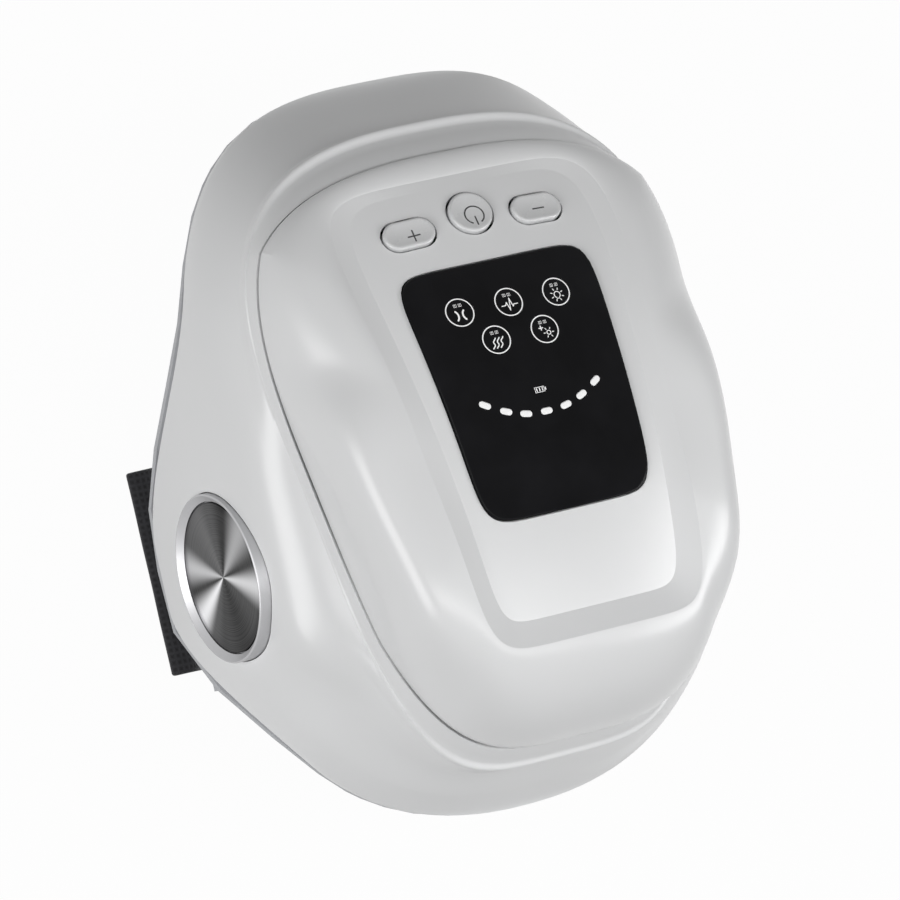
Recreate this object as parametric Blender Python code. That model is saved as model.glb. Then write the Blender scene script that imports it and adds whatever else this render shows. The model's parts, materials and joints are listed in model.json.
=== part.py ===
"""Electric knee massager: shell, cover, controls, works, leg side and strap."""
import math

import bpy
import bmesh
from mathutils import Matrix, Vector

# Body outlines, seen from the front; up the leg is +Y
rim_half_width = 0.0795
rim_thigh_end = 0.1092
rim_shin_end = -0.1108
rim_widest_at = -0.0320
crease_inset = 0.0165
crease_half_width = rim_half_width - crease_inset
crease_thigh_end = 0.0917
crease_shin_end = -0.0965
crease_widest_at = 0.0013
seam_outset = 0.0012
seam_half_width = crease_half_width + seam_outset
seam_thigh_end = 0.0820
seam_shin_end = -0.0917
seam_widest_at = 0.0143
recess_rim_half_width = 0.0405
recess_rim_thigh_end = 0.0745
recess_rim_shin_end = -0.0622
recess_rim_widest_at = 0.0134
recess_floor_half_width = 0.0345
recess_floor_thigh_end = 0.0715
recess_floor_shin_end = -0.0548
recess_floor_widest_at = -0.0038
display_half_width = 0.0292
display_thigh_edge = 0.0480
display_shin_edge = -0.0268
display_widest_at = 0.0106
outline_shares = {
    "rim": (3.05, 2.25, 0.0),
    "crease": (2.72, 4.1, 0.25),
    "seam": (2.64, 3.76, 0.25),
    "recess_rim": (6.6, 8.0, 0.135),
    "recess_floor": (7.5, 9.0, 0.168),
    "display": (9.0, 8.0, 0.07),
}

# Heights above the strap's underside
wing_edge_height = 0.0093
thigh_rim_height = 0.0600
shin_rim_height = 0.0540
wing_thigh_start = -0.0120
wing_thigh_stop = 0.0620
wing_shin_start = -0.0320
wing_shin_stop = -0.0860
crease_end_height = 0.0900
crease_side_height = 0.0950
seam_end_height = 0.1020
seam_side_height = 0.1005
floor_top_height = 0.1361
floor_top_at = -0.0372
floor_arc_radius = 0.2125
floor_crown = 0.0020
recess_shin_depth = 0.0032
recess_side_depth = 0.0018
thigh_dome_share = 1.55
side_dome_share = 5.0
shin_dome_share = 1.9
dome_rise_start = math.radians(62)
dome_rise_stop = math.radians(104)
dome_fall_start = math.radians(124)
dome_fall_stop = math.radians(151)
side_fullness_share = 5.0
disc_fullness_share = 16.0
disc_draft_share = 0.30
disc_near_share = 1.4
end_fullness_share = 0.72

# Walls and clearances
shell_wall = 0.0025
rim_lip = 0.0020
rim_twist_share = 0.95
cover_wall = 0.0026
lining_wall = 0.0020
joint_gap = 0.0003
seat_gap = 0.0001
slide_gap = 0.0004

# Directions round the body at which every outline is met
corner_steps = 6
thigh_corner_angle = math.radians(33)
shin_corner_angle = math.radians(150)
corner_bunching_share = 1.35

# Rows of points up the flank, over the ledge, up the dome and across the recess floor
wall_row_shares = (0.0, 0.0001, 0.22, 0.48, 0.7, 0.84, 0.93, 0.975)
ledge_row_shares = (0.0, 1.0)
dome_row_shares = (0.0, 0.015, 0.05, 0.18, 0.4, 0.68, 1.0)
floor_row_shares = (1.0, 0.7, 0.35)

# Sides of round pieces
round_sides = 40
cell_sides = 28
foot_sides = 20
bar_sides = 16
shank_sides = 12

# Shares that shape small edges and ends
edge_step_share = 0.3
edge_in_share = 0.35
edge_out_share = 1.3
lens_ring_share = 0.55
head_slant_share = 0.7
head_round_share = 0.6
end_chamfer_share = 0.08
cell_button_share = 0.35
motor_end_share = 0.1
motor_clasp_share = 0.55
weight_hub_share = 2.4
board_rest_share = 0.9

# Leg side, row by row: share of the rim's reach and share of the rise
lining_row_shares = (
    (1.0, 0.0), (0.84, 0.0), (0.79, 0.50), (0.72, 0.80), (0.62, 0.95), (0.5, 1.0), (0.25, 1.0),
)

# Leg side
lining_top_height = 0.0560
cushion_thickness = 0.0120
cushion_gap = 0.0018
cushion_start_angle = math.radians(58)
cushion_stop_angle = math.radians(131)
cushion_middle_share = 0.525
cushion_reach_share = 0.85
end_puff_share = 4.0
side_puff_share = 2.6
edge_share = 0.14
crown_share = 0.6
end_round_share = 2.6
end_width_share = 0.45
window_radius = 0.0210
heat_pad_inner_radius = 0.0240
heat_pad_outer_radius = 0.0370
heat_pad_thickness = 0.0012

# Side discs
disc_along = -0.0242
disc_height = 0.0577
disc_face_outset = 0.0005
disc_face_at = rim_half_width + disc_face_outset
disc_spread = 0.0620
disc_tip = math.radians(5.5)
bezel_radius = 0.0252
bezel_inner_radius = 0.0228
bezel_depth = 0.0085
bezel_floor_wall = 0.0012
bezel_edge_round = 0.0008
turned_disc_radius = 0.0224
turned_disc_thickness = 0.0014
turned_disc_set_back = 0.0007

# Display
display_depth = 0.0014
display_proud = 0.0010
display_edge_round = 0.0006
display_gap = 0.0003
window_half_width = 0.0215
window_thigh_edge = 0.0400
window_shin_edge = -0.0190
display_board_width = 0.0480
display_board_length = 0.0640
display_board_below = 0.0068
board_thickness = 0.0016

# Buttons
power_at = 0.0623
power_diameter = 0.0146
volume_at = 0.0598
volume_offset = 0.0205
volume_length = 0.0172
volume_height = 0.0104
button_proud = 0.0011
button_edge_round = 0.0007
button_flange = 0.0009
button_flange_thickness = 0.0010
button_flange_below = 0.0034
button_stem_radius = 0.0020
button_stem_end = 0.0066
switch_gap = 0.0009
plunger_radius = 0.0015
plunger_height = 0.0008
switch_width = 0.0060
switch_height = 0.0034
button_board_length = 0.0740
button_board_width = 0.0130
peg_offset = 0.0335
peg_radius = 0.0018

# Inner frame and the works on it
frame_half_width = 0.0560
frame_shin_end = -0.0800
frame_thigh_end = 0.0740
frame_corner = 0.0260
frame_bottom = 0.0620
frame_thickness = 0.0025
frame_foot_x = 0.0255
frame_foot_y = 0.0330
frame_foot_radius = 0.0042
screw_shank_radius = 0.0013
screw_head_radius = 0.0028
screw_head_height = 0.0016
screw_length = 0.0085
main_board_width = 0.0820
main_board_length = 0.0640
main_board_at = 0.0350
main_board_standoff = 0.0040
standoff_radius = 0.0025
cell_radius = 0.0092
cell_length = 0.0650
cell_end_at = -0.0740
cell_offset = 0.0098
holder_wall = 0.0015
holder_height = 0.0110
pump_radius = 0.0112
pump_offset = 0.0345
pump_body_start = -0.0460
pump_body_length = 0.0300
pump_head_length = 0.0140
pump_head_width = 0.0220
works_lift = 0.0003
valve_at = -0.0600
valve_offset = 0.0335
valve_width = 0.0120
valve_height = 0.0160
motor_radius = 0.0080
motor_inset = 0.0235
motor_offset = rim_half_width - motor_inset
motor_start = -0.0380
motor_length = 0.0220
motor_lift = 0.0045
motor_height = frame_bottom + frame_thickness + motor_lift + motor_radius
shaft_radius = 0.0010
shaft_length = 0.0095
weight_radius = 0.0070
weight_thickness = 0.0055
weight_gap = 0.0020
mount_width = 0.0180
mount_length = 0.0120
tube_radius = 0.0019
tube_along_share = 0.03
tube_up_share = 0.45
tube_start_share = 0.2
tube_lead_share = 3.5
tube_bore_gap = 0.0008

# Charging socket in the right wing
port_along = 0.0300
port_height = 0.0700
port_width = 0.0090
port_tall = 0.0034
port_length = 0.0075
port_wall = 0.0005
charge_board_length = 0.0240
charge_board_width = 0.0160

# Strap
strap_width = 0.0626
strap_along = -0.0192
strap_thickness = 0.0017
strap_bar_radius = 0.0015
strap_bar_inset = 0.0081
strap_bar_x = rim_half_width - strap_bar_inset
strap_bar_height = 0.0255
strap_bar_length = 0.0690
strap_bulge_inset = 0.0015
strap_bulge_x = rim_half_width - strap_bulge_inset
strap_bulge_height = 0.0052
strap_fold_height = 0.0042
strap_fold_reach = 0.0150
strap_slot_side = 0.0004
strap_middle_share = 0.4
strap_outer_share = 0.75
strap_bend_shares = (4.5, 2.5, 3.5)
strap_belly_share = 0.4
hook_width_share = 0.8
hook_patch_length = 0.0450
hook_patch_thickness = 0.0012
lug_length = 0.0060
lug_wall = 0.0015

palette = {
    "white": ((0.86, 0.86, 0.87, 1), 0.18, 0.0),
    "panel": ((0.010, 0.010, 0.012, 1), 0.08, 0.0),
    "button": ((0.80, 0.81, 0.83, 1), 0.22, 0.0),
    "silver": ((0.62, 0.62, 0.64, 1), 0.22, 1.0),
    "turned": ((0.30, 0.30, 0.31, 1), 0.30, 1.0),
    "textile": ((0.020, 0.020, 0.022, 1), 0.95, 0.0),
    "cushion": ((0.11, 0.11, 0.12, 1), 0.92, 0.0),
    "lining": ((0.55, 0.56, 0.58, 1), 0.55, 0.0),
    "heater": ((0.06, 0.06, 0.07, 1), 0.75, 0.0),
    "red": ((0.55, 0.03, 0.03, 1), 0.15, 0.0),
    "frame": ((0.32, 0.33, 0.35, 1), 0.60, 0.0),
    "board": ((0.02, 0.16, 0.07, 1), 0.50, 0.0),
    "switch": ((0.04, 0.04, 0.045, 1), 0.45, 0.0),
    "cell": ((0.05, 0.22, 0.50, 1), 0.35, 0.0),
    "steel": ((0.55, 0.56, 0.58, 1), 0.28, 1.0),
    "brass": ((0.62, 0.46, 0.20, 1), 0.30, 1.0),
    "rubber": ((0.05, 0.05, 0.055, 1), 0.85, 0.0),
    "tube": ((0.70, 0.71, 0.72, 1), 0.40, 0.0),
}


def clear_scene():
    for item in list(bpy.data.objects):
        bpy.data.objects.remove(item, do_unlink=True)


def make_material(piece, kind):
    colour, roughness, metallic = palette[kind]
    material = bpy.data.materials.new(piece + "_" + kind)
    material.use_nodes = True
    surface = material.node_tree.nodes["Principled BSDF"]
    surface.inputs["Base Color"].default_value = colour
    surface.inputs["Roughness"].default_value = roughness
    surface.inputs["Metallic"].default_value = metallic
    material.diffuse_color = colour
    return material


def add_piece(name, vertices, faces, kind, place=None):
    mesh = bpy.data.meshes.new(name)
    mesh.from_pydata([tuple(v) for v in vertices], [], faces)
    shape = bmesh.new()
    shape.from_mesh(mesh)
    bmesh.ops.recalc_face_normals(shape, faces=shape.faces)
    shape.to_mesh(mesh)
    shape.free()
    piece = bpy.data.objects.new(name, mesh)
    bpy.context.scene.collection.objects.link(piece)
    if kind:
        mesh.materials.append(make_material(name, kind))
    if place is not None:
        piece.matrix_world = place
    return piece


def smooth(piece):
    for face in piece.data.polygons:
        face.use_smooth = True


def as_cutter(piece):
    piece.hide_render = True
    piece.display_type = "WIRE"
    return piece


def combine(piece, other, operation, solver="EXACT"):
    boolean = piece.modifiers.new(operation.lower() + "_" + other.name, "BOOLEAN")
    boolean.operation = operation
    boolean.solver = solver
    boolean.object = as_cutter(other)


def thicken(piece, wall):
    solid = piece.modifiers.new("wall", "SOLIDIFY")
    solid.thickness = wall
    solid.offset = -1.0
    solid.use_even_offset = True
    solid.use_rim = True


def eased(share):
    share = min(1.0, max(0.0, share))
    return share * share * (3 - 2 * share)


def directions():
    half = []
    spans = (
        (0.0, thigh_corner_angle, True),
        (thigh_corner_angle, math.pi / 2, False),
        (math.pi / 2, shin_corner_angle, True),
        (shin_corner_angle, math.pi, False),
    )
    for start, stop, closing in spans:
        for step in range(corner_steps):
            share = step / corner_steps
            if closing:
                share = 1 - (1 - share) ** corner_bunching_share
            else:
                share = share ** corner_bunching_share
            half.append(start + (stop - start) * share)
    half.append(math.pi)
    return half + [-angle for angle in reversed(half[1:-1])]


def outline(name):
    sizes = {
        "rim": (rim_half_width, rim_thigh_end, rim_shin_end, rim_widest_at),
        "crease": (crease_half_width, crease_thigh_end, crease_shin_end, crease_widest_at),
        "seam": (seam_half_width, seam_thigh_end, seam_shin_end, seam_widest_at),
        "recess_rim": (recess_rim_half_width, recess_rim_thigh_end, recess_rim_shin_end,
                       recess_rim_widest_at),
        "recess_floor": (recess_floor_half_width, recess_floor_thigh_end, recess_floor_shin_end,
                         recess_floor_widest_at),
        "display": (display_half_width, display_thigh_edge, display_shin_edge, display_widest_at),
    }
    return sizes[name] + outline_shares[name]


def reach(shape, angle, start=0.0):
    """Distance from the point (0, start) to the outline in a direction from +Y towards +X."""
    half_width, thigh, shin, widest, thigh_square, shin_square, taper = shape
    middle = (thigh + shin) / 2
    half_length = (thigh - shin) / 2
    low = 0.0
    high = 2 * (half_length + half_width)
    for step in range(50):
        distance = (low + high) / 2
        across = distance * abs(math.sin(angle))
        along = start + distance * math.cos(angle)
        square = thigh_square if along > widest else shin_square
        end = thigh - widest if along > widest else widest - shin
        width = half_width * (1 + taper * (along - middle) / half_length)
        if width <= 0:
            high = distance
        elif (across / width) ** square + (abs(along - widest) / end) ** square > 1:
            high = distance
        else:
            low = distance
    return low


def flat_loop(shape, start=0.0, share=1.0, inset=0.0):
    loop = []
    for angle in directions():
        distance = reach(shape, angle, start) * share - inset
        loop.append((distance * math.sin(angle), start + distance * math.cos(angle)))
    return loop


def rim_height(along):
    thigh = eased((along - wing_thigh_start) / (wing_thigh_stop - wing_thigh_start))
    shin = eased((along - wing_shin_start) / (wing_shin_stop - wing_shin_start))
    rise = thigh * (thigh_rim_height - wing_edge_height) + shin * (shin_rim_height - wing_edge_height)
    return wing_edge_height + rise


def side_share(angle):
    return math.sin(angle) ** 2


def floor_height(across, along):
    arc = (along - floor_top_at) ** 2 / (2 * floor_arc_radius)
    return floor_top_height - arc - floor_crown * (across / recess_floor_half_width) ** 2


def floor_slope(along):
    return math.atan((along - floor_top_at) / floor_arc_radius)


def loft(loops, first_point=None, last_point=None, first_cap=False, last_cap=False):
    vertices = []
    faces = []
    count = len(loops[0])
    for loop in loops:
        vertices.extend(loop)
    for row in range(len(loops) - 1):
        for spot in range(count):
            after = (spot + 1) % count
            low = row * count
            faces.append((low + spot, low + after, low + count + after, low + count + spot))
    if first_cap:
        faces.append(tuple(range(count)))
    if last_cap:
        base = (len(loops) - 1) * count
        faces.append(tuple(base + spot for spot in range(count)))
    if first_point is not None:
        vertices.append(first_point)
        tip = len(vertices) - 1
        for spot in range(count):
            faces.append((spot, (spot + 1) % count, tip))
    if last_point is not None:
        vertices.append(last_point)
        tip = len(vertices) - 1
        base = (len(loops) - 1) * count
        for spot in range(count):
            faces.append((base + spot, base + (spot + 1) % count, tip))
    return vertices, faces


def box(name, kind, size, centre, turn=None):
    vertices = []
    for x in (-0.5, 0.5):
        for y in (-0.5, 0.5):
            for z in (-0.5, 0.5):
                vertices.append((x * size[0], y * size[1], z * size[2]))
    faces = [(0, 1, 3, 2), (4, 6, 7, 5), (0, 4, 5, 1), (2, 3, 7, 6), (0, 2, 6, 4), (1, 5, 7, 3)]
    place = Matrix.Translation(centre)
    if turn is not None:
        place = place @ turn
    return add_piece(name, vertices, faces, kind, place)


def circle(radius, height, sides):
    loop = []
    for side in range(sides):
        angle = 2 * math.pi * side / sides
        loop.append((radius * math.cos(angle), radius * math.sin(angle), height))
    return loop


def lathe(name, kind, profile, place, sides=28):
    """Closed turned piece: profile is a list of (radius, height) from one end to the other."""
    loops = [circle(radius, height, sides) for radius, height in profile]
    vertices, faces = loft(loops, first_cap=True, last_cap=True)
    return add_piece(name, vertices, faces, kind, place)


def along_x(side, centre):
    turn = Matrix.Rotation(side * math.pi / 2, 4, "Y")
    return Matrix.Translation(centre) @ turn


def disc_place(side, behind):
    """Place behind a disc's face, its +Z out of the wing and tipped up as the wall leans."""
    face = Matrix.Translation((side * disc_face_at, disc_along, disc_height))
    return face @ Matrix.Rotation(-side * disc_tip, 4, "Y") @ along_x(side, (-side * behind, 0, 0))


def along_y(centre):
    return Matrix.Translation(centre) @ Matrix.Rotation(-math.pi / 2, 4, "X")


def flange_stretch(angle):
    """How much taller the flange is than its wall, for its slope along the rim."""
    step = math.radians(0.5)
    before = reach(outline("rim"), angle - step)
    after = reach(outline("rim"), angle + step)
    start = Vector((before * math.sin(angle - step), before * math.cos(angle - step)))
    stop = Vector((after * math.sin(angle + step), after * math.cos(angle + step)))
    slope = (rim_height(stop.y) - rim_height(start.y)) / (stop - start).length
    return math.sqrt(1 + slope ** 2)


def shell_edge_height(angle):
    here = rim_height(reach(outline("rim"), angle) * math.cos(angle))
    stretch = flange_stretch(angle)
    slope = math.sqrt(stretch ** 2 - 1)
    return here + lining_wall * stretch + joint_gap + rim_twist_share * shell_wall * slope


def wall_point(angle, share):
    """Point on the flank between the rim and the crease."""
    rim = reach(outline("rim"), angle)
    crease = reach(outline("crease"), angle)
    side = side_share(angle)
    near = eased(disc_near_share * (1 - abs(rim * math.cos(angle) - disc_along) / disc_spread))
    drafted = disc_draft_share * share ** 2 + (1 - disc_draft_share) * share ** disc_fullness_share
    fullness = end_fullness_share ** (1 - side) * side_fullness_share ** side
    plan = near * drafted + (1 - near) * share ** fullness
    distance = rim + (crease - rim) * plan
    edge = shell_edge_height(angle)
    crease_height = crease_end_height + (crease_side_height - crease_end_height) * side
    if share > 0:
        edge += rim_lip
    height = edge + (crease_height - edge) * share
    return (distance * math.sin(angle), distance * math.cos(angle), height)


def ledge_point(angle, share):
    crease = reach(outline("crease"), angle)
    seam = min(reach(outline("seam"), angle), crease - joint_gap * 3)
    side = side_share(angle)
    low = crease_end_height + (crease_side_height - crease_end_height) * side
    high = seam_end_height + (seam_side_height - seam_end_height) * side
    distance = crease + (seam - crease) * share
    return (distance * math.sin(angle), distance * math.cos(angle), low + (high - low) * share)


def build_shell():
    loops = []
    for share in wall_row_shares:
        loops.append([wall_point(angle, share) for angle in directions()])
    for share in ledge_row_shares:
        loops.append([ledge_point(angle, share) for angle in directions()])
    vertices, faces = loft(loops)
    shell = add_piece("main_shell", vertices, faces, "white")
    thicken(shell, shell_wall)
    for side, word in ((-1, "left"), (1, "right")):
        bore = lathe("bezel_bore_" + word, None,
                     ((bezel_radius + joint_gap, 0), (bezel_radius + joint_gap, bezel_radius)),
                     disc_place(side, bezel_depth + shell_wall), round_sides)
        combine(shell, bore, "DIFFERENCE", "MANIFOLD")
    half = port_width / 2 + joint_gap
    opening = pill("port_opening", None, 2 * half, port_tall + 2 * joint_gap,
                   ((0.0, 0.0), (0.0, port_length * 2)), port_place(rim_half_width - port_length), 20)
    combine(shell, opening, "DIFFERENCE", "MANIFOLD")
    smooth(shell)
    return shell


def dome_fullness(away):
    """Squareness of the dome's side: fullest over the wings, softer towards both ends."""
    rise = eased((away - dome_rise_start) / (dome_rise_stop - dome_rise_start))
    fall = eased((dome_fall_stop - away) / (dome_fall_stop - dome_fall_start))
    end = thigh_dome_share if away < dome_rise_stop else shin_dome_share
    return end + (side_dome_share - end) * rise * fall


def dome_point(angle, share):
    seam = ledge_point(angle, 1.0)
    start = math.hypot(seam[0], seam[1])
    rim = min(reach(outline("recess_rim"), angle), start - shell_wall)
    top = rim_top(angle)
    fullness = dome_fullness(abs(angle))
    rise = (1 - (1 - share) ** fullness) ** (1 / fullness)
    distance = start + (rim - start) * share
    low = seam[2] + joint_gap
    return (distance * math.sin(angle), distance * math.cos(angle), low + (top - low) * rise)


def rim_top(angle):
    distance = reach(outline("recess_rim"), angle)
    x = distance * math.sin(angle)
    y = distance * math.cos(angle)
    away = eased((math.pi - abs(angle)) / (math.pi - thigh_corner_angle))
    shin = eased((abs(angle) - math.pi / 2) / (shin_corner_angle - math.pi / 2))
    depth = recess_side_depth + (recess_shin_depth - recess_side_depth) * shin
    fade = eased(abs(angle) / (thigh_corner_angle * 2))
    return floor_height(x, y) + depth * fade * min(1.0, away + shin)


def floor_loop(share, lift=0.0):
    loop = []
    for x, y in flat_loop(outline("recess_floor"), 0.0, share):
        loop.append((x, y, floor_height(x, y) + lift))
    return loop


def display_loop(inset, lift, share=1.0):
    loop = []
    for x, y in flat_loop(outline("display"), display_widest_at, share, inset):
        loop.append((x, y, floor_height(x, y) + lift))
    return loop


def floor_place(across, along):
    """Frame standing on the recess floor, +Z out of the floor, +Y up the slope."""
    tip = math.atan(2 * floor_crown * across / recess_floor_half_width ** 2)
    turn = Matrix.Rotation(-floor_slope(along), 4, "X") @ Matrix.Rotation(tip, 4, "Y")
    return Matrix.Translation((across, along, floor_height(across, along))) @ turn


def pill_loop(length, height, level, sides):
    loop = []
    radius = height / 2
    straight = max(0.0, length / 2 - radius)
    for step in range(sides):
        angle = 2 * math.pi * (step + 0.5) / sides
        x = radius * math.cos(angle)
        x += straight if x > 0 else -straight
        loop.append((x, radius * math.sin(angle), level))
    return loop


def pill(name, kind, length, height, rows, place, sides=24):
    """Closed pill-shaped piece: rows are (growth, level) from one end to the other."""
    loops = [pill_loop(length + 2 * grow, height + 2 * grow, level, sides) for grow, level in rows]
    vertices, faces = loft(loops, first_cap=True, last_cap=True)
    return add_piece(name, vertices, faces, kind, place)


button_list = (
    ("power", 0.0, power_at, power_diameter, power_diameter),
    ("plus", -volume_offset, volume_at, volume_length, volume_height),
    ("minus", volume_offset, volume_at, volume_length, volume_height),
)


def build_cover():
    loops = []
    for share in dome_row_shares:
        loops.append([dome_point(angle, share) for angle in directions()])
    for share in floor_row_shares:
        loops.append(floor_loop(share))
    vertices, faces = loft(loops, last_point=(0, 0, floor_height(0, 0)))
    cover = add_piece("front_cover", vertices, faces, "white")
    thicken(cover, cover_wall)
    lift = display_proud * 4
    pocket_rows = [display_loop(0.0, -display_depth), display_loop(0.0, lift)]
    level = floor_height(0, display_widest_at)
    vertices, faces = loft(pocket_rows, first_point=(0, display_widest_at, level - display_depth),
                           last_point=(0, display_widest_at, level + lift))
    combine(cover, add_piece("display_pocket", vertices, faces, None), "DIFFERENCE")
    middle = (window_thigh_edge + window_shin_edge) / 2
    window = box("display_window", None,
                 (2 * window_half_width, window_thigh_edge - window_shin_edge, 6 * cover_wall),
                 (0, middle, floor_height(0, middle)), Matrix.Rotation(-floor_slope(middle), 4, "X"))
    combine(cover, window, "DIFFERENCE")
    for word, across, along, length, height in button_list:
        hole = pill(word + "_hole", None, length, height,
                    ((0.0, -3 * cover_wall), (0.0, 2 * cover_wall)), floor_place(across, along))
        combine(cover, hole, "DIFFERENCE")
    for side, word in ((-1, "left"), (1, "right")):
        place = board_place() @ Matrix.Translation((side * peg_offset, 0, 0))
        peg = lathe("board_peg_" + word, None,
                    ((peg_radius, -board_level() + seat_gap),
                     (peg_radius, -crown_drop(peg_offset) - cover_wall / 2)), place, 16)
        combine(cover, peg, "UNION")
    smooth(cover)
    return cover


def crown_drop(across):
    return floor_height(0, volume_at) - floor_height(across, volume_at)


def board_place():
    """Frame of the button board: on the floor's middle line, square to the floor there."""
    turn = Matrix.Rotation(-floor_slope(volume_at), 4, "X")
    return Matrix.Translation((0, volume_at, floor_height(0, volume_at))) @ turn


def stem_depth():
    return button_stem_end + crown_drop(volume_offset)


def board_level():
    """Depth of the button board's top face below the middle of the recess floor."""
    return stem_depth() + switch_gap + plunger_height + switch_height + 2 * seat_gap


def build_display():
    inset = display_gap
    bottom = -display_depth + display_gap
    rows = (
        (inset, bottom),
        (inset, display_proud - display_edge_round),
        (inset + display_edge_round * edge_in_share, display_proud - display_edge_round * edge_step_share),
        (inset + display_edge_round * edge_out_share, display_proud),
    )
    loops = [display_loop(*row) for row in rows]
    loops.append(display_loop(0.0, display_proud, lens_ring_share))
    loops.insert(0, display_loop(0.0, bottom, lens_ring_share))
    centre = floor_height(0, display_widest_at)
    vertices, faces = loft(loops, first_point=(0, display_widest_at, centre + bottom),
                           last_point=(0, display_widest_at, centre + display_proud))
    lens = add_piece("display_lens", vertices, faces, "panel")
    smooth(lens)
    place = floor_place(0, display_widest_at)
    place = place @ Matrix.Translation((0, 0, -display_board_below - board_thickness / 2))
    board = box("display_board", "board", (display_board_width, display_board_length, board_thickness),
                place.translation, place.to_3x3().to_4x4())
    return lens, board


def build_buttons():
    for word, across, along, length, height in button_list:
        gap = slide_gap
        stem = -(height / 2 - button_stem_radius)
        depth = button_stem_end if across else stem_depth()
        rows = (
            (stem, -depth),
            (stem, -button_flange_below - button_flange_thickness),
            (button_flange, -button_flange_below - button_flange_thickness),
            (button_flange, -button_flange_below),
            (-gap, -button_flange_below),
            (-gap, button_proud - button_edge_round),
            (-gap - button_edge_round * edge_step_share, button_proud - button_edge_round * edge_step_share),
            (-gap - button_edge_round, button_proud),
        )
        button = pill(word + "_button", "button", length, height, rows, floor_place(across, along))
        smooth(button)
    depth = board_level()
    place = board_place() @ Matrix.Translation((0, 0, -depth - board_thickness / 2))
    box("button_board", "board", (button_board_length, button_board_width, board_thickness),
        place.translation, place.to_3x3().to_4x4())
    for word, across, along, length, height in button_list:
        rest = board_place() @ Matrix.Translation((across, 0, -depth + seat_gap))
        half = switch_width / 2
        body = []
        for level, reach_out in ((0.0, half), (switch_height, half)):
            body.append([(reach_out * sx, reach_out * sy, level)
                         for sx, sy in ((1, 1), (-1, 1), (-1, -1), (1, -1))])
        vertices, faces = loft(body, first_cap=True, last_cap=True)
        switch = add_piece(word + "_switch", vertices, faces, "switch", rest)
        plunger = lathe(word + "_plunger", None,
                        ((plunger_radius, switch_height / 2),
                         (plunger_radius, switch_height + plunger_height)),
                        rest, shank_sides)
        combine(switch, plunger, "UNION")


def lining_point(angle, share, drop):
    rim = reach(outline("rim"), angle)
    edge = rim_height(rim * math.cos(angle))
    top = lining_top_height - lining_wall
    height = edge + (top - edge) * drop
    return Vector((rim * share * math.sin(angle), rim * share * math.cos(angle), height))


def lining_section(angle):
    """Outer side of the lining in the plane at this angle, row by row, a wall away from the leg side."""
    rows = [lining_point(angle, share, drop) for share, drop in lining_row_shares]
    flat = [(math.hypot(row.x, row.y), row.z) for row in rows]
    stretch = flange_stretch(angle)
    normals = []
    for spot in range(len(flat) - 1):
        inward = flat[spot][0] - flat[spot + 1][0]
        rise = flat[spot + 1][1] - flat[spot][1]
        length = math.hypot(inward, rise)
        normals.append((rise / length, inward / length))
    section = [(flat[0][0], flat[0][1] + lining_wall * stretch)]
    for spot in range(1, len(flat)):
        before = normals[spot - 1]
        after = normals[min(spot, len(normals) - 1)]
        both = 1 + before[0] * after[0] + before[1] * after[1]
        lift = lining_wall * (stretch if spot == 1 else 1.0)
        section.append((flat[spot][0] + lining_wall * (before[0] + after[0]) / both,
                        flat[spot][1] + lift * (before[1] + after[1]) / both))
    return [(distance * math.sin(angle), distance * math.cos(angle), height) for distance, height in section]


def build_lining():
    under = [[tuple(lining_point(angle, share, drop)) for angle in directions()]
             for share, drop in lining_row_shares]
    sections = [lining_section(angle) for angle in directions()]
    over = [[section[row] for section in sections] for row in range(len(lining_row_shares))]
    low = lining_top_height - lining_wall
    vertices, faces = loft(list(reversed(under)) + over, first_point=(0, 0, low),
                           last_point=(0, 0, lining_top_height))
    lining = add_piece("inner_lining", vertices, faces, "lining")
    window = lathe("window_bore", None,
                   ((window_radius + joint_gap, -lining_wall), (window_radius + joint_gap, 2 * lining_wall)),
                   Matrix.Translation((0, 0, lining_top_height - lining_wall)), round_sides)
    combine(lining, window, "DIFFERENCE", "MANIFOLD")
    for sx in (-1, 1):
        for sy in (-1, 1):
            bore = lathe("lining_screw_bore", None,
                         ((screw_shank_radius + joint_gap, -lining_wall),
                          (screw_shank_radius + joint_gap, 2 * lining_wall)),
                         Matrix.Translation((sx * frame_foot_x, sy * frame_foot_y,
                                             lining_top_height - lining_wall)), shank_sides)
            combine(lining, bore, "DIFFERENCE", "MANIFOLD")
    for side in (-1, 1):
        for end in (-1, 1):
            inner = strap_width / 2 + strap_slot_side + joint_gap
            middle = strap_along + end * (inner + lug_length / 2)
            low = strap_bar_height - strap_bar_radius - lug_wall
            high = max(strap_bar_height + strap_bar_radius + lug_wall, rim_height(middle) + lining_wall / 2)
            lug = box("strap_lug", None, (2 * slot_half(), lug_length, high - low),
                      (side * strap_bar_x, middle, (high + low) / 2))
            combine(lining, lug, "UNION", "MANIFOLD")
        slot = box("strap_slot", None,
                   (2 * slot_half(), strap_width + 2 * strap_slot_side, strap_bar_height + slot_half()),
                   (side * strap_bar_x, strap_along, (strap_bar_height + 3 * slot_half()) / 2))
        combine(lining, slot, "DIFFERENCE", "MANIFOLD")
        bar_bore = lathe("bar_bore", None,
                         ((strap_bar_radius + joint_gap / 2, 0),
                          (strap_bar_radius + joint_gap / 2, strap_bar_length + 2 * joint_gap)),
                         along_y((side * strap_bar_x, strap_along - strap_bar_length / 2 - joint_gap,
                                  strap_bar_height)), 16)
        combine(lining, bar_bore, "DIFFERENCE", "MANIFOLD")
        tube_bore = lathe("tube_bore", None,
                          ((tube_radius + tube_bore_gap, 0), (tube_radius + tube_bore_gap, tube_radius * 8)),
                          along_x(side, tube_bore_spot(side)), 16)
        combine(lining, tube_bore, "DIFFERENCE", "MANIFOLD")
    smooth(lining)
    return lining


def slot_half():
    return strap_bar_radius + joint_gap + strap_thickness + strap_slot_side


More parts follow.
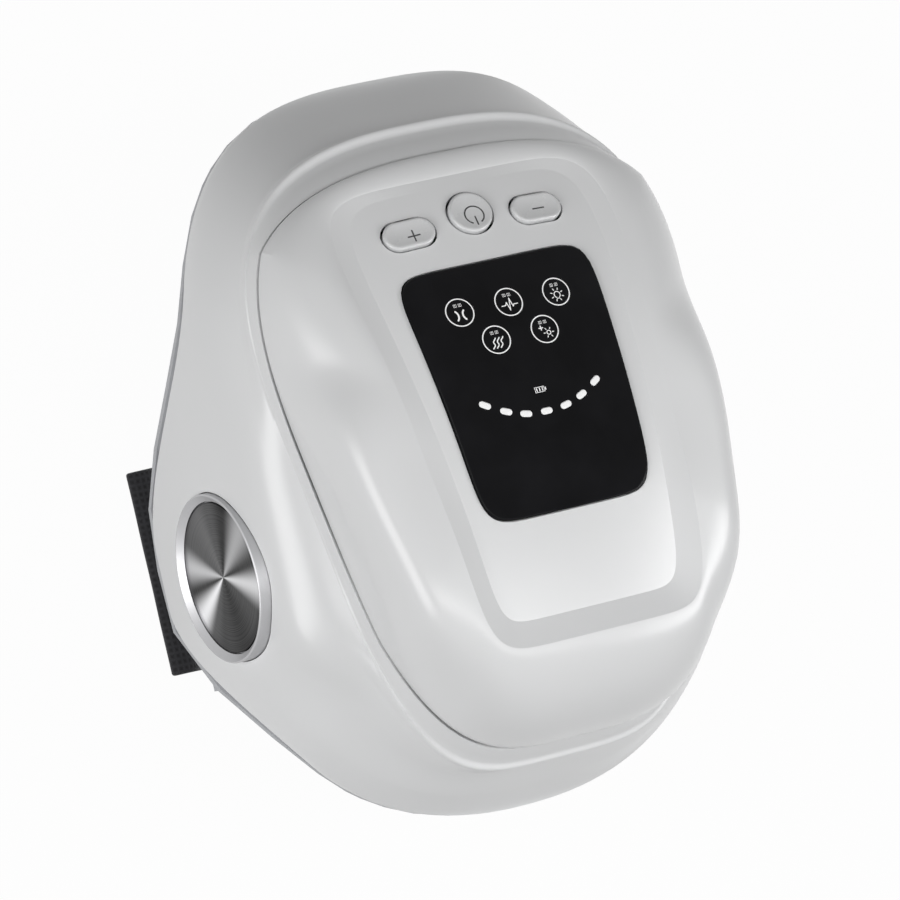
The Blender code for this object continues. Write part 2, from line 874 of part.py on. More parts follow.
def tube_bore_spot(side):
    point = cushion_spine(side, tube_along_share, tube_up_share, 0.0)
    return (point[0] - side * tube_radius * 4, point[1], point[2])


def cushion_spine(side, along_share, up_share, distance):
    """Point over the leg side of the lining's wing wall."""
    angle = cushion_stop_angle + (cushion_start_angle - cushion_stop_angle) * along_share
    rows = lining_row_shares[1:5]
    spot = up_share * (len(rows) - 1)
    low = min(int(spot), len(rows) - 2)
    part = spot - low
    share = rows[low][0] + (rows[low + 1][0] - rows[low][0]) * part
    drop = rows[low][1] + (rows[low + 1][1] - rows[low][1]) * part
    here = lining_point(angle, share, drop)
    step = math.radians(1)
    slope_angle = lining_point(angle + step, share, drop) - lining_point(angle - step, share, drop)
    slope_up = lining_point(angle, *rows[low + 1]) - lining_point(angle, *rows[low])
    outward = slope_angle.cross(slope_up).normalized()
    if outward.x * here.x > 0:
        outward = -outward
    point = here + outward * distance
    return (side * point.x, point.y, point.z)


def cushion_end_round(along_share):
    """Narrows the cushion towards its two ends, which are round in plan."""
    return (1 - abs(2 * along_share - 1) ** end_round_share) ** (1 / end_round_share) * (
        1 - end_width_share) + end_width_share


def build_cushions():
    lengthwise = 16
    crosswise = 7
    for side, word in ((-1, "left"), (1, "right")):
        vertices = []
        faces = []
        for face in (0, 1):
            for i in range(lengthwise + 1):
                for j in range(crosswise + 1):
                    u = i / lengthwise
                    v = j / crosswise
                    puff = (1 - abs(2 * u - 1) ** end_puff_share) * (1 - abs(2 * v - 1) ** side_puff_share)
                    distance = cushion_gap
                    if face:
                        distance += cushion_thickness * (edge_share + (1 - edge_share) * puff ** crown_share)
                    across = cushion_reach_share * (v - 0.5) * cushion_end_round(u)
                    vertices.append(cushion_spine(side, u, cushion_middle_share + across, distance))
        row = crosswise + 1
        layer = (lengthwise + 1) * row
        for i in range(lengthwise):
            for j in range(crosswise):
                a = i * row + j
                faces.append((a, a + 1, a + row + 1, a + row))
                faces.append((a + layer, a + layer + row, a + layer + row + 1, a + layer + 1))
        for i in range(lengthwise):
            for edge in (0, crosswise):
                a = i * row + edge
                faces.append((a, a + row, a + row + layer, a + layer))
        for j in range(crosswise):
            for edge in (0, lengthwise):
                a = edge * row + j
                faces.append((a, a + 1, a + 1 + layer, a + layer))
        cushion = add_piece("air_cushion_" + word, vertices, faces, "cushion")
        smooth(cushion)


def build_heat_parts():
    low = lining_top_height - lining_wall - seat_gap - heat_pad_thickness
    pad = lathe("heat_pad", "heater",
                ((heat_pad_outer_radius, 0), (heat_pad_outer_radius, heat_pad_thickness)),
                Matrix.Translation((0, 0, low)), round_sides)
    hole = lathe("heat_pad_hole", None,
                 ((heat_pad_inner_radius, -heat_pad_thickness),
                  (heat_pad_inner_radius, 2 * heat_pad_thickness)),
                 Matrix.Translation((0, 0, low)), round_sides)
    combine(pad, hole, "DIFFERENCE")
    window = lathe("light_window", "red",
                   ((window_radius - bezel_edge_round, -lining_wall / 2),
                    (window_radius, -lining_wall / 2 + bezel_edge_round), (window_radius, lining_wall)),
                   Matrix.Translation((0, 0, lining_top_height - lining_wall)), 40)
    board = lathe("led_board", "board",
                  ((window_radius, 0), (window_radius, board_thickness)),
                  Matrix.Translation((0, 0, lining_top_height + joint_gap)), 32)
    return window, board


def build_frame():
    sides = 10
    loops = []
    for level in (frame_bottom, frame_bottom + frame_thickness):
        loop = []
        for cx, cy, start in (
                (frame_half_width - frame_corner, frame_thigh_end - frame_corner, 0),
                (-frame_half_width + frame_corner, frame_thigh_end - frame_corner, 1),
                (-frame_half_width + frame_corner, frame_shin_end + frame_corner, 2),
                (frame_half_width - frame_corner, frame_shin_end + frame_corner, 3)):
            for step in range(sides + 1):
                angle = (start + step / sides) * math.pi / 2
                loop.append((cx + frame_corner * math.cos(angle), cy + frame_corner * math.sin(angle), level))
        loops.append(loop)
    vertices, faces = loft(loops, first_cap=True, last_cap=True)
    frame = add_piece("inner_frame", vertices, faces, "frame")
    top = frame_bottom + frame_thickness
    for side in (-1, 1):
        reach_out = motor_offset + mount_width / 2
        tongue = box("motor_tongue", None,
                     (reach_out - frame_corner, motor_length + mount_length / 2, frame_thickness),
                     (side * (reach_out + frame_corner) / 2, motor_start + motor_length / 2,
                      frame_bottom + frame_thickness / 2))
        combine(frame, tongue, "UNION")
    socket_tongue = box("socket_tongue", None,
                        (port_inner_x() - frame_corner, charge_board_width, frame_thickness),
                        ((port_inner_x() + frame_corner) / 2, port_along, frame_bottom + frame_thickness / 2))
    combine(frame, socket_tongue, "UNION")
    for sx in (-1, 1):
        for sy in (-1, 1):
            foot = lathe("frame_foot", None,
                         ((frame_foot_radius, 0), (frame_foot_radius, frame_bottom - lining_top_height)),
                         Matrix.Translation((sx * frame_foot_x, sy * frame_foot_y,
                                             lining_top_height + seat_gap)), foot_sides)
            combine(frame, foot, "UNION")
            post = lathe("board_post", None,
                         ((standoff_radius, -frame_thickness / 2),
                          (standoff_radius, main_board_standoff - seat_gap)),
                         Matrix.Translation((sx * (main_board_width / 2 - 2 * standoff_radius),
                                             main_board_at + sy * (main_board_length / 2 - 2 * standoff_radius),
                                             top)), shank_sides)
            combine(frame, post, "UNION")
    for sx in (-1, 1):
        for sy in (-1, 1):
            bore = lathe("frame_screw_bore", None,
                         ((screw_shank_radius + joint_gap / 2, -screw_length),
                          (screw_shank_radius + joint_gap / 2, screw_length)),
                         Matrix.Translation((sx * frame_foot_x, sy * frame_foot_y, frame_bottom)), shank_sides)
            combine(frame, bore, "DIFFERENCE")
    return frame


def build_screws():
    for sx, word in ((-1, "left"), (1, "right")):
        for sy, end in ((-1, "shin"), (1, "thigh")):
            under = lining_top_height - lining_wall - seat_gap
            lathe("frame_screw_" + end + "_" + word, "steel",
                  ((screw_head_radius * head_slant_share, -screw_head_height),
                   (screw_head_radius, -screw_head_height * head_round_share),
                   (screw_head_radius, 0), (screw_shank_radius, 0), (screw_shank_radius, screw_length)),
                  Matrix.Translation((sx * frame_foot_x, sy * frame_foot_y, under)), bar_sides)


def build_power():
    top = frame_bottom + frame_thickness
    floor = top + seat_gap
    width = 2 * (cell_offset + cell_radius + holder_wall) + 2 * joint_gap
    length = cell_length + 2 * (holder_wall + joint_gap)
    middle = cell_end_at + cell_length / 2
    holder = box("battery_holder", "switch", (width, length, holder_height),
                 (0, middle, floor + holder_height / 2))
    room = box("holder_room", None, (width - 2 * holder_wall, length - 2 * holder_wall, holder_height),
               (0, middle, floor + holder_wall + holder_height / 2))
    combine(holder, room, "DIFFERENCE")
    centre = floor + holder_wall + joint_gap + cell_radius
    for side, word in ((-1, "left"), (1, "right")):
        edge = cell_radius * end_chamfer_share
        lathe("battery_cell_" + word, "cell",
              ((cell_radius - edge, 0), (cell_radius, edge), (cell_radius, cell_length - 3 * edge),
               (cell_radius - edge, cell_length - 2 * edge),
               (cell_radius * cell_button_share, cell_length - 2 * edge),
               (cell_radius * cell_button_share, cell_length)),
              along_y((side * cell_offset, cell_end_at, centre)), cell_sides)
    level = top + main_board_standoff
    box("main_board", "board", (main_board_width, main_board_length, board_thickness),
        (0, main_board_at, level + board_thickness / 2))


def build_air():
    top = frame_bottom + frame_thickness + works_lift
    axis = top + pump_radius
    lathe("pump_body", "steel",
          ((pump_radius * (1 - end_chamfer_share), 0), (pump_radius, pump_radius * end_chamfer_share),
           (pump_radius, pump_body_length)),
          along_y((-pump_offset, pump_body_start, axis)), cell_sides)
    head_start = pump_body_start + pump_body_length + seat_gap
    box("pump_head", "switch", (pump_head_width, pump_head_length, pump_head_width),
        (-pump_offset, head_start + pump_head_length / 2, top + pump_head_width / 2))
    for side, word in ((-1, "left"), (1, "right")):
        box("valve_" + word, "tube", (valve_width, valve_width, valve_height),
            (side * valve_offset, valve_at, top + valve_height / 2))
    head_top = top + pump_head_width + joint_gap
    valve_top = top + valve_height + joint_gap
    bend = tube_radius * 5
    head_y = head_start + pump_head_length / 2
    for side, word in ((-1, "left"), (1, "right")):
        start_x = -pump_offset + side * pump_head_width / 4
        end_x = side * (valve_offset - valve_width / 4)
        over = head_top + bend
        path = [(start_x, head_y, head_top), (start_x, head_y, head_top + bend * tube_start_share),
                (start_x, head_y, head_top + bend * 0.5)]
        if side < 0:
            path.append((start_x, head_y - bend, over))
            path.append((end_x, valve_at + bend, over))
        else:
            path.append((start_x + bend, head_y - bend / 2, over))
            path.append((0, head_y - 2 * bend, over))
            path.append((end_x, valve_at + bend, over))
        path += [(end_x, valve_at, valve_top + bend * 0.5),
                 (end_x, valve_at, valve_top + bend * tube_start_share),
                 (end_x, valve_at, valve_top)]
        sweep_tube("supply_tube_" + word, path)
        out_x = side * (valve_offset + valve_width / 4)
        into = tube_bore_spot(side)
        ending = cushion_spine(side, tube_along_share, tube_up_share, -joint_gap)
        outer_x = ending[0] + side * 5 * tube_radius
        path = ((out_x, valve_at, valve_top), (out_x, valve_at, valve_top + bend * tube_start_share),
                (out_x, valve_at, valve_top + bend * 0.5),
                (out_x + side * bend, valve_at + bend / 2, valve_top + bend * 0.5),
                (outer_x - side * tube_radius, into[1], frame_bottom + bend),
                (outer_x, into[1], frame_bottom - bend / 2),
                (outer_x, into[1], into[2] + bend * 0.5),
                (ending[0] + side * tube_lead_share * tube_radius, into[1], into[2]),
                (ending[0] + side * tube_radius, into[1], into[2]),
                (ending[0], into[1], into[2]))
        sweep_tube("cushion_tube_" + word, path)


def smooth_path(points, per_span):
    """Smooth curve through the given points."""
    spine = []
    for span in range(len(points) - 1):
        before = points[max(0, span - 1)]
        start = points[span]
        stop = points[span + 1]
        after = points[min(len(points) - 1, span + 2)]
        for step in range(per_span):
            t = step / per_span
            spine.append(0.5 * ((2 * start) + (stop - before) * t
                                + (2 * before - 5 * start + 4 * stop - after) * t ** 2
                                + (3 * start - before - 3 * stop + after) * t ** 3))
    spine.append(points[-1])
    return spine


def sweep_tube(name, path):
    """Closed round tube along a smooth path through the given points."""
    spine = smooth_path([Vector(point) for point in path], 3)
    loops = []
    side = None
    for spot, point in enumerate(spine):
        forward = (spine[min(spot + 1, len(spine) - 1)] - spine[max(spot - 1, 0)]).normalized()
        if side is None:
            side = forward.orthogonal().normalized()
        side = (side - forward * side.dot(forward)).normalized()
        other = forward.cross(side)
        loop = []
        for step in range(8):
            angle = 2 * math.pi * step / 8
            loop.append(tuple(point + tube_radius * (math.cos(angle) * side + math.sin(angle) * other)))
        loops.append(loop)
    vertices, faces = loft(loops, first_cap=True, last_cap=True)
    tube = add_piece(name, vertices, faces, "tube")
    smooth(tube)
    return tube


def build_motors():
    top = frame_bottom + frame_thickness
    for side, word in ((-1, "left"), (1, "right")):
        axis = (side * motor_offset, motor_start, motor_height)
        lathe("vibration_motor_" + word, "steel",
              ((motor_radius * (1 - motor_end_share), 0), (motor_radius, motor_radius * motor_end_share),
               (motor_radius, motor_length),
               (shaft_radius, motor_length), (shaft_radius, motor_length + shaft_length)),
              along_y(axis), 24)
        middle = motor_start + motor_length / 2
        low = top + seat_gap
        high = motor_height + motor_radius * motor_clasp_share
        mount = box("motor_mount_" + word, "rubber", (mount_width, mount_length, high - low),
                    (side * motor_offset, middle, (high + low) / 2))
        bore = lathe("motor_bore_" + word, None,
                     ((motor_radius + joint_gap / 2, -motor_length),
                      (motor_radius + joint_gap / 2, motor_length)),
                     along_y((side * motor_offset, middle, motor_height)), 32)
        combine(mount, bore, "DIFFERENCE")
        sides = 20
        loops = []
        for level in (0.0, weight_thickness):
            loop = []
            for step in range(sides + 1):
                angle = math.pi * step / sides
                loop.append((weight_radius * math.cos(angle), weight_radius * math.sin(angle), level))
            hub = weight_hub_share * shaft_radius
            for step in range(1, sides // 2):
                angle = math.pi + math.pi * step / (sides // 2)
                loop.append((hub * math.cos(angle), hub * math.sin(angle), level))
            loops.append(loop)
        vertices, faces = loft(loops, first_cap=True, last_cap=True)
        place = along_y((side * motor_offset, motor_start + motor_length + weight_gap, motor_height))
        weight = add_piece("vibration_weight_" + word, vertices, faces, "brass", place)
        bore = lathe("weight_bore_" + word, None,
                     ((shaft_radius + joint_gap / 2, -weight_thickness),
                      (shaft_radius + joint_gap / 2, 2 * weight_thickness)), place, shank_sides)
        combine(weight, bore, "DIFFERENCE")


def port_inner_x():
    return rim_half_width - port_length - joint_gap


def port_place(start):
    turn = Matrix.Rotation(math.pi / 2, 4, "Y") @ Matrix.Rotation(math.pi / 2, 4, "Z")
    return Matrix.Translation((start, port_along, port_height)) @ turn


def build_socket():
    start = rim_half_width - port_length - joint_gap
    port = pill("charging_port", "steel", port_width, port_tall,
                ((0.0, 0.0), (0.0, port_length - shell_wall / 2)),
                port_place(start), 20)
    room = pill("port_room", None, port_width - 2 * port_wall, port_tall - 2 * port_wall,
                ((0.0, port_wall * 2), (0.0, port_length)), port_place(start), 20)
    combine(port, room, "DIFFERENCE")
    top = frame_bottom + frame_thickness + seat_gap
    high = port_height - port_tall / 2 - seat_gap
    right = port_inner_x() + port_length / 5
    box("charge_board", "board", (charge_board_length, charge_board_width * board_rest_share, high - top),
        (right - charge_board_length / 2, port_along, (high + top) / 2))


def build_discs():
    for side, word in ((-1, "left"), (1, "right")):
        place = disc_place(side, bezel_depth)
        depth = bezel_depth
        bezel = lathe("bezel_" + word, "silver",
                      ((bezel_radius, 0), (bezel_radius, depth - bezel_edge_round),
                       (bezel_radius - bezel_edge_round * edge_step_share,
                        depth - bezel_edge_round * edge_step_share),
                       (bezel_radius - bezel_edge_round, depth)), place, round_sides)
        recess = turned_disc_thickness + turned_disc_set_back + seat_gap
        well = lathe("bezel_well_" + word, None,
                     ((bezel_inner_radius, depth - recess), (bezel_inner_radius, depth + recess)),
                     place, round_sides)
        combine(bezel, well, "DIFFERENCE")
        hollow = lathe("bezel_hollow_" + word, None,
                       ((bezel_inner_radius, -depth),
                        (bezel_inner_radius, depth - recess - bezel_floor_wall)),
                       place, round_sides)
        combine(bezel, hollow, "DIFFERENCE")
        disc = lathe("turned_disc_" + word, "turned",
                     ((turned_disc_radius, depth - recess + seat_gap),
                      (turned_disc_radius, depth - turned_disc_set_back - bezel_edge_round / 4),
                      (turned_disc_radius - bezel_edge_round / 4, depth - turned_disc_set_back)),
                     place, round_sides)
        smooth_sides(bezel)
        smooth_sides(disc)


def smooth_sides(piece):
    for face in piece.data.polygons:
        face.use_smooth = len(face.vertices) == 4


def strap_path():
    """Middle line of the band in the XZ plane, from one sewn end round both bars to the other."""
    half = strap_thickness / 2
    turn_radius = strap_bar_radius + joint_gap + half
    near = strap_bar_x - turn_radius
    far = strap_bar_x + turn_radius
    first, second, third = (share * half for share in strap_bend_shares)
    path = [(-strap_fold_reach, strap_fold_height), (-strap_bar_x * strap_middle_share, strap_fold_height),
            (-strap_bar_x * strap_outer_share, strap_fold_height), (-near + first, strap_fold_height + half),
            (-near + half, wing_edge_height - second), (-near, wing_edge_height),
            (-near, (wing_edge_height + strap_bar_height) / 2)]
    for step in range(5):
        angle = math.pi * step / 4
        path.append((-strap_bar_x + turn_radius * math.cos(angle),
                     strap_bar_height + turn_radius * math.sin(angle)))
    path += [(-far, (wing_edge_height + strap_bar_height) / 2), (-far, wing_edge_height),
             (-strap_bulge_x + half, strap_bulge_height),
             (-strap_bulge_x + third, strap_bulge_height * strap_belly_share),
             (-strap_bar_x + half, half), (-strap_bar_x * strap_outer_share, half), (0.0, half)]
    return path + [(-x, z) for x, z in reversed(path[:-1])]


def build_strap():
    path = smooth_path([Vector((x, 0, z)) for x, z in strap_path()], 2)
    half = strap_thickness / 2
    outer = []
    inner = []
    for spot, point in enumerate(path):
        forward = (path[min(spot + 1, len(path) - 1)] - path[max(spot - 1, 0)]).normalized()
        normal = Vector((-forward.z, 0, forward.x))
        outer.append(point + normal * half)
        inner.append(point - normal * half)
    ring = outer + list(reversed(inner))
    loops = []
    for along in (strap_along - strap_width / 2, strap_along + strap_width / 2):
        loops.append([(point.x, along, max(0.0, point.z)) for point in ring])
    vertices = loops[0] + loops[1]
    count = len(ring)
    faces = []
    for spot in range(count):
        after = (spot + 1) % count
        faces.append((spot, after, count + after, count + spot))
    length = len(path)
    for base in (0, count):
        for spot in range(length - 1):
            far = count - 1 - spot
            faces.append((base + spot, base + spot + 1, base + far - 1, base + far))
    strap = add_piece("strap", vertices, faces, "textile")
    low = strap_thickness + joint_gap
    high = strap_fold_height - strap_thickness / 2 - joint_gap
    box("hook_patch", "rubber", (hook_patch_length, strap_width * hook_width_share,
                                 min(hook_patch_thickness, high - low)),
        (strap_fold_reach + hook_patch_length / 2, strap_along, (low + high) / 2))
    for side, word in ((-1, "left"), (1, "right")):
        lathe("strap_bar_" + word, "steel",
              ((strap_bar_radius, 0), (strap_bar_radius, strap_bar_length)),
              along_y((side * strap_bar_x, strap_along - strap_bar_length / 2, strap_bar_height)), 16)
    return strap


def main():
    clear_scene()
    build_shell()
    build_cover()
    build_display()
    build_buttons()
    build_lining()
    build_cushions()
    build_heat_parts()
    build_frame()
    build_screws()
    build_power()
    build_air()
    build_motors()
    build_socket()
    build_discs()
    build_strap()


main()
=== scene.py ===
"""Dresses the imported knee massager: shell, cover, panel, buttons, discs, strap, leg side and stage."""

import json
import math

import bmesh
import bpy
from bpy.props import FloatProperty, FloatVectorProperty, IntProperty, PointerProperty
from mathutils import Matrix, Vector
from mathutils.bvhtree import BVHTree


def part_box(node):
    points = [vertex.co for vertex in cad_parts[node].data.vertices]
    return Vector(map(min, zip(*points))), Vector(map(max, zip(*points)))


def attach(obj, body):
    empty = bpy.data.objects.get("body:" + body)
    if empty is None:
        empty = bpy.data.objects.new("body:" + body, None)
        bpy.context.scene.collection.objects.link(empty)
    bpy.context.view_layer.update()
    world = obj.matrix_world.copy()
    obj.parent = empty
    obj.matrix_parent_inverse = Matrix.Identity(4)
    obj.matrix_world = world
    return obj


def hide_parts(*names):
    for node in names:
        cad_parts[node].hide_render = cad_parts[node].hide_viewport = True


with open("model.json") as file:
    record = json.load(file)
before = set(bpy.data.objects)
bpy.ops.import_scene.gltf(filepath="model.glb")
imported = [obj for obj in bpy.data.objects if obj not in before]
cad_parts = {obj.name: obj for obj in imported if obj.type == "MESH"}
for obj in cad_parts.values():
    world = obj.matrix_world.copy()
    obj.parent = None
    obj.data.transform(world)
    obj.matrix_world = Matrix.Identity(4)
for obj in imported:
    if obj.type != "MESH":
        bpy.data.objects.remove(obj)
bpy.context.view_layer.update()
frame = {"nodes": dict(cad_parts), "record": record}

bl_info = {
    "name": "Knee massager dressing",
    "version": (1, 0, 0),
    "blender": (4, 5, 0),
    "location": "3D View > Sidebar > Knee massager",
    "description": "Builds the detailed pieces and finishes of an electric knee massager",
    "category": "Object",
}


def distance_of(name, description, default):
    return FloatProperty(name=name, description=description, default=default, subtype="DISTANCE",
                         unit="LENGTH", precision=4)


def outline_of(name, description, default):
    return FloatVectorProperty(name=name, description=description, default=default, size=4,
                               unit="LENGTH", precision=4)


def shares_of(name, description, default):
    return FloatVectorProperty(name=name, description=description, default=default, size=len(default))


def amount_of(name, description, default, unit="NONE"):
    return FloatProperty(name=name, description=description, default=default, unit=unit)


def three_of(name, description, default, kind):
    return FloatVectorProperty(name=name, description=description, default=default, size=3, subtype=kind)


def colour_of(name, description, default):
    return FloatVectorProperty(name=name, description=description, default=default + (1.0,), size=4,
                               subtype="COLOR", min=0.0, max=1.0)


class BodySizes(bpy.types.PropertyGroup):
    rim: outline_of("Rim", "Half width, thigh end, shin end and widest place of the lower rim",
                    (0.0795, 0.1092, -0.1108, -0.0320))
    crease: outline_of("Crease", "Half width, thigh end, shin end and widest place of the crease",
                       (0.0630, 0.0917, -0.0965, 0.0013))
    seam: outline_of("Seam", "Half width, thigh end, shin end and widest place of the cover seam",
                     (0.0642, 0.0820, -0.0917, 0.0143))
    rim_shares: shares_of("Rim roundness", "Thigh and shin squareness, then taper", (3.05, 2.25, 0.0))
    crease_shares: shares_of("Crease roundness", "Thigh and shin squareness, then taper", (2.72, 4.1, 0.25))
    seam_shares: shares_of("Seam roundness", "Thigh and shin squareness, then taper", (2.64, 3.76, 0.25))
    wing_edge: distance_of("Wing edge", "Height of the wings' lower edge", 0.0093)
    thigh_rim: distance_of("Thigh rim", "Height of the rim at the thigh end", 0.0600)
    shin_rim: distance_of("Shin rim", "Height of the rim at the shin end", 0.0540)
    crease_end: distance_of("Crease at the ends", "Height of the crease at both ends", 0.0900)
    crease_side: distance_of("Crease at the sides", "Height of the crease at the sides", 0.0950)
    seam_end: distance_of("Seam at the ends", "Height of the seam at both ends", 0.1020)
    seam_side: distance_of("Seam at the sides", "Height of the seam at the sides", 0.1005)
    wall: distance_of("Wall", "Wall of the shell", 0.0025)
    lip: distance_of("Lip", "Upright lip above the rim", 0.0020)
    joint: distance_of("Joint", "Gap between neighbouring pieces", 0.0003)
    groove: distance_of("Groove", "Depth of the groove along the cover seam", 0.0007)
    bead: distance_of("Bead", "Height of the bead along the crease", 0.0017)
    fold: distance_of("Fold", "Depth of the fold above the shin edge", 0.0017)


class CoverSizes(bpy.types.PropertyGroup):
    recess_rim: outline_of("Recess rim", "Half width, thigh end, shin end and widest place of the recess rim",
                           (0.0405, 0.0745, -0.0622, 0.0134))
    recess_floor: outline_of("Recess floor", "Half width, thigh end, shin end and widest place of the floor",
                             (0.0345, 0.0715, -0.0548, -0.0038))
    display: outline_of("Display", "Half width, thigh end, shin end and widest place of the display",
                        (0.0292, 0.0480, -0.0268, 0.0106))
    recess_rim_shares: shares_of("Recess rim roundness", "Thigh and shin squareness, then taper",
                                 (6.6, 9.0, 0.135))
    recess_floor_shares: shares_of("Recess floor roundness", "Thigh and shin squareness, then taper",
                                   (7.5, 11.0, 0.168))
    display_shares: shares_of("Display roundness", "Thigh and shin squareness, then taper", (9.0, 8.0, 0.07))
    floor_top: distance_of("Floor height", "Highest level of the recess floor", 0.1361)
    floor_top_at: distance_of("Floor crest", "Where along the leg the floor is highest", -0.0372)
    floor_arc: distance_of("Floor arc", "Radius of the floor's arc along the leg", 0.2125)
    floor_crown: distance_of("Floor crown", "How much the floor falls towards its sides", 0.0020)
    shin_depth: distance_of("Depth at the shin", "Depth of the recess at its shin end", 0.0042)
    side_depth: distance_of("Depth at the sides", "Depth of the recess at its sides", 0.0026)
    fullness: shares_of("Dome fullness", "Squareness of the dome's side at the thigh, sides and shin",
                        (1.55, 5.0, 1.9))
    fuller: FloatVectorProperty(name="Fuller sides", size=4, unit="ROTATION",
                                description="Directions between which the dome's side is full",
                                default=tuple(math.radians(turn) for turn in (62, 104, 124, 151)))
    wall: distance_of("Wall", "Wall of the cover", 0.0026)
    glass_proud: distance_of("Glass height", "How far the display stands out of the floor", 0.0010)
    glass_depth: distance_of("Glass depth", "Depth of the display's pocket", 0.0014)
    glass_round: distance_of("Glass edge", "Round of the display's edge", 0.0006)


class ControlSizes(bpy.types.PropertyGroup):
    power_at: distance_of("Power button place", "Where along the leg the power button is", 0.0623)
    power_diameter: distance_of("Power button", "Diameter of the power button's opening", 0.0146)
    volume_at: distance_of("Plus and minus place", "Where along the leg the two pills are", 0.0598)
    volume_offset: distance_of("Plus and minus offset", "How far the pills are from the middle", 0.0205)
    volume_length: distance_of("Pill length", "Length of a pill's opening", 0.0172)
    volume_height: distance_of("Pill height", "Height of a pill's opening", 0.0104)
    slide: distance_of("Slide gap", "Gap round a button", 0.0004)
    proud: distance_of("Button height", "How far a button stands out", 0.0011)
    edge: distance_of("Button edge", "Round of a button's edge", 0.0007)
    stem: distance_of("Button depth", "How far a button reaches down", 0.0044)


class DiscSizes(bpy.types.PropertyGroup):
    along: distance_of("Disc along", "Where along the leg the discs are", -0.0242)
    height: distance_of("Disc height", "Height of the discs' centres", 0.0577)
    face: distance_of("Bezel face", "How far out the bezel's face is", 0.0800)
    depth: distance_of("Bezel depth", "How deep a bezel reaches behind its face", 0.0085)
    tip: amount_of("Tip", "How far the discs are tipped up", math.radians(5.5), "ROTATION")
    spread: distance_of("Shoulder spread", "How far along the leg the fuller wall reaches", 0.0620)
    bezel_radius: distance_of("Bezel radius", "Outer radius of the bezel", 0.0252)
    bezel_inner: distance_of("Bezel inner radius", "Inner radius of the bezel", 0.0228)
    disc_radius: distance_of("Disc radius", "Radius of the turned disc", 0.0224)
    set_back: distance_of("Set back", "How far the disc lies behind the bezel's face", 0.0007)


class StrapSizes(bpy.types.PropertyGroup):
    width: distance_of("Strap width", "Width of the band", 0.0626)
    along: distance_of("Strap along", "Where along the leg the band's middle is", -0.0192)
    thickness: distance_of("Strap thickness", "Thickness of the band", 0.0017)
    bar_x: distance_of("Bar offset", "How far out the bars are", 0.0714)
    bar_height: distance_of("Bar height", "Height of the bars", 0.0255)
    bar_radius: distance_of("Bar radius", "Radius of a bar", 0.0015)
    bulge: distance_of("Bulge", "How far out the band bulges", 0.0804)
    bulge_height: distance_of("Bulge height", "Height at which it bulges most", 0.0052)
    fold_height: distance_of("Fold height", "Height of the folded back ends", 0.0042)
    fold_reach: distance_of("Fold reach", "Where the folded ends stop", 0.0150)
    thread: distance_of("Thread", "Pitch of the weave", 0.0009)


class CushionSizes(bpy.types.PropertyGroup):
    drawn_in: distance_of("Drawn in", "How much smaller the pad starts", 0.0012)
    grain: distance_of("Grain", "Size of the cells that the cloth is made of", 0.0040)
    cap: distance_of("Swelling", "How far the cloth may swell", 0.0060)
    rest: distance_of("Resting", "How close to the lining the cloth stays still", 0.0035)
    pressure: amount_of("Pressure", "Air pressure in the cloth", 4.0)
    frames: IntProperty(name="Steps", description="Steps of the blowing up", default=20)


class FinishColours(bpy.types.PropertyGroup):
    white: colour_of("Shell white", "Moulded shell and cover", (0.78, 0.785, 0.79))
    button: colour_of("Button grey", "Button caps", (0.70, 0.705, 0.71))
    symbol: colour_of("Symbol", "Symbols on the buttons", (0.02, 0.02, 0.021))
    glass: colour_of("Panel glass", "Display panel", (0.006, 0.006, 0.007))
    mark: colour_of("Panel marks", "Pictograms on the panel", (0.86, 0.86, 0.86))
    silver: colour_of("Bezel silver", "Round bezels", (0.46, 0.46, 0.47))
    turned: colour_of("Turned metal", "Turned discs", (0.12, 0.12, 0.122))
    textile: colour_of("Strap textile", "Strap", (0.018, 0.018, 0.020))
    cushion: colour_of("Cushion textile", "Air cushions", (0.085, 0.085, 0.09))
    lining: colour_of("Lining", "Leg side of the body", (0.50, 0.51, 0.53))


class StageSizes(bpy.types.PropertyGroup):
    camera_place: three_of("Camera place", "Where the camera stands", (-0.6022, -0.0018, 1.4191),
                           "TRANSLATION")
    camera_right: three_of("Camera right", "Direction to the right of the picture",
                           (0.8907, -0.2248, 0.3952), "DIRECTION")
    camera_back: three_of("Camera back", "Direction from the object to the camera",
                          (-0.4054, 0.0007, 0.9141), "DIRECTION")
    lens: amount_of("Lens", "Focal length in millimetres", 200.0)
    left: amount_of("Left light", "Power of the left softbox", 8.2, "POWER")
    right: amount_of("Right light", "Power of the right softbox", 5.8, "POWER")
    top: amount_of("Top light", "Power of the softbox above", 3.2, "POWER")
    air: amount_of("Air light", "Strength of the even light all round", 0.02)
    floor_size: distance_of("Floor size", "Side of the floor sheet", 40.0)
    floor_light: amount_of("Floor light", "Share of plain white in the floor", 0.97)


groups = {
    "knee_body": BodySizes,
    "knee_cover": CoverSizes,
    "knee_controls": ControlSizes,
    "knee_discs": DiscSizes,
    "knee_strap": StrapSizes,
    "knee_cushions": CushionSizes,
    "knee_colours": FinishColours,
    "knee_stage": StageSizes,
}

# A point inside the body, to tell in from out
body_middle = Vector((0, 0, 0.04))

# How many corner steps the skins have, and how they bunch towards the corners
skin_steps = 34
bunching = 1.35
thigh_corner = math.radians(33)
shin_corner = math.radians(150)

# Places along the leg between which the rim rises from the wings to both ends
thigh_rise = (-0.0120, 0.0620)
shin_rise = (-0.0320, -0.0860)

# Thickness of the lining under the shell's edge, and the share of the wall that a sloping rim adds
lining_wall = 0.0020
rim_twist_share = 0.95

# How full the shell's wall stands at the sides, by the discs and at the ends
side_fullness = 5.0
disc_fullness = 16.0
disc_draft = 0.30
disc_near = 1.4
end_fullness = 0.72

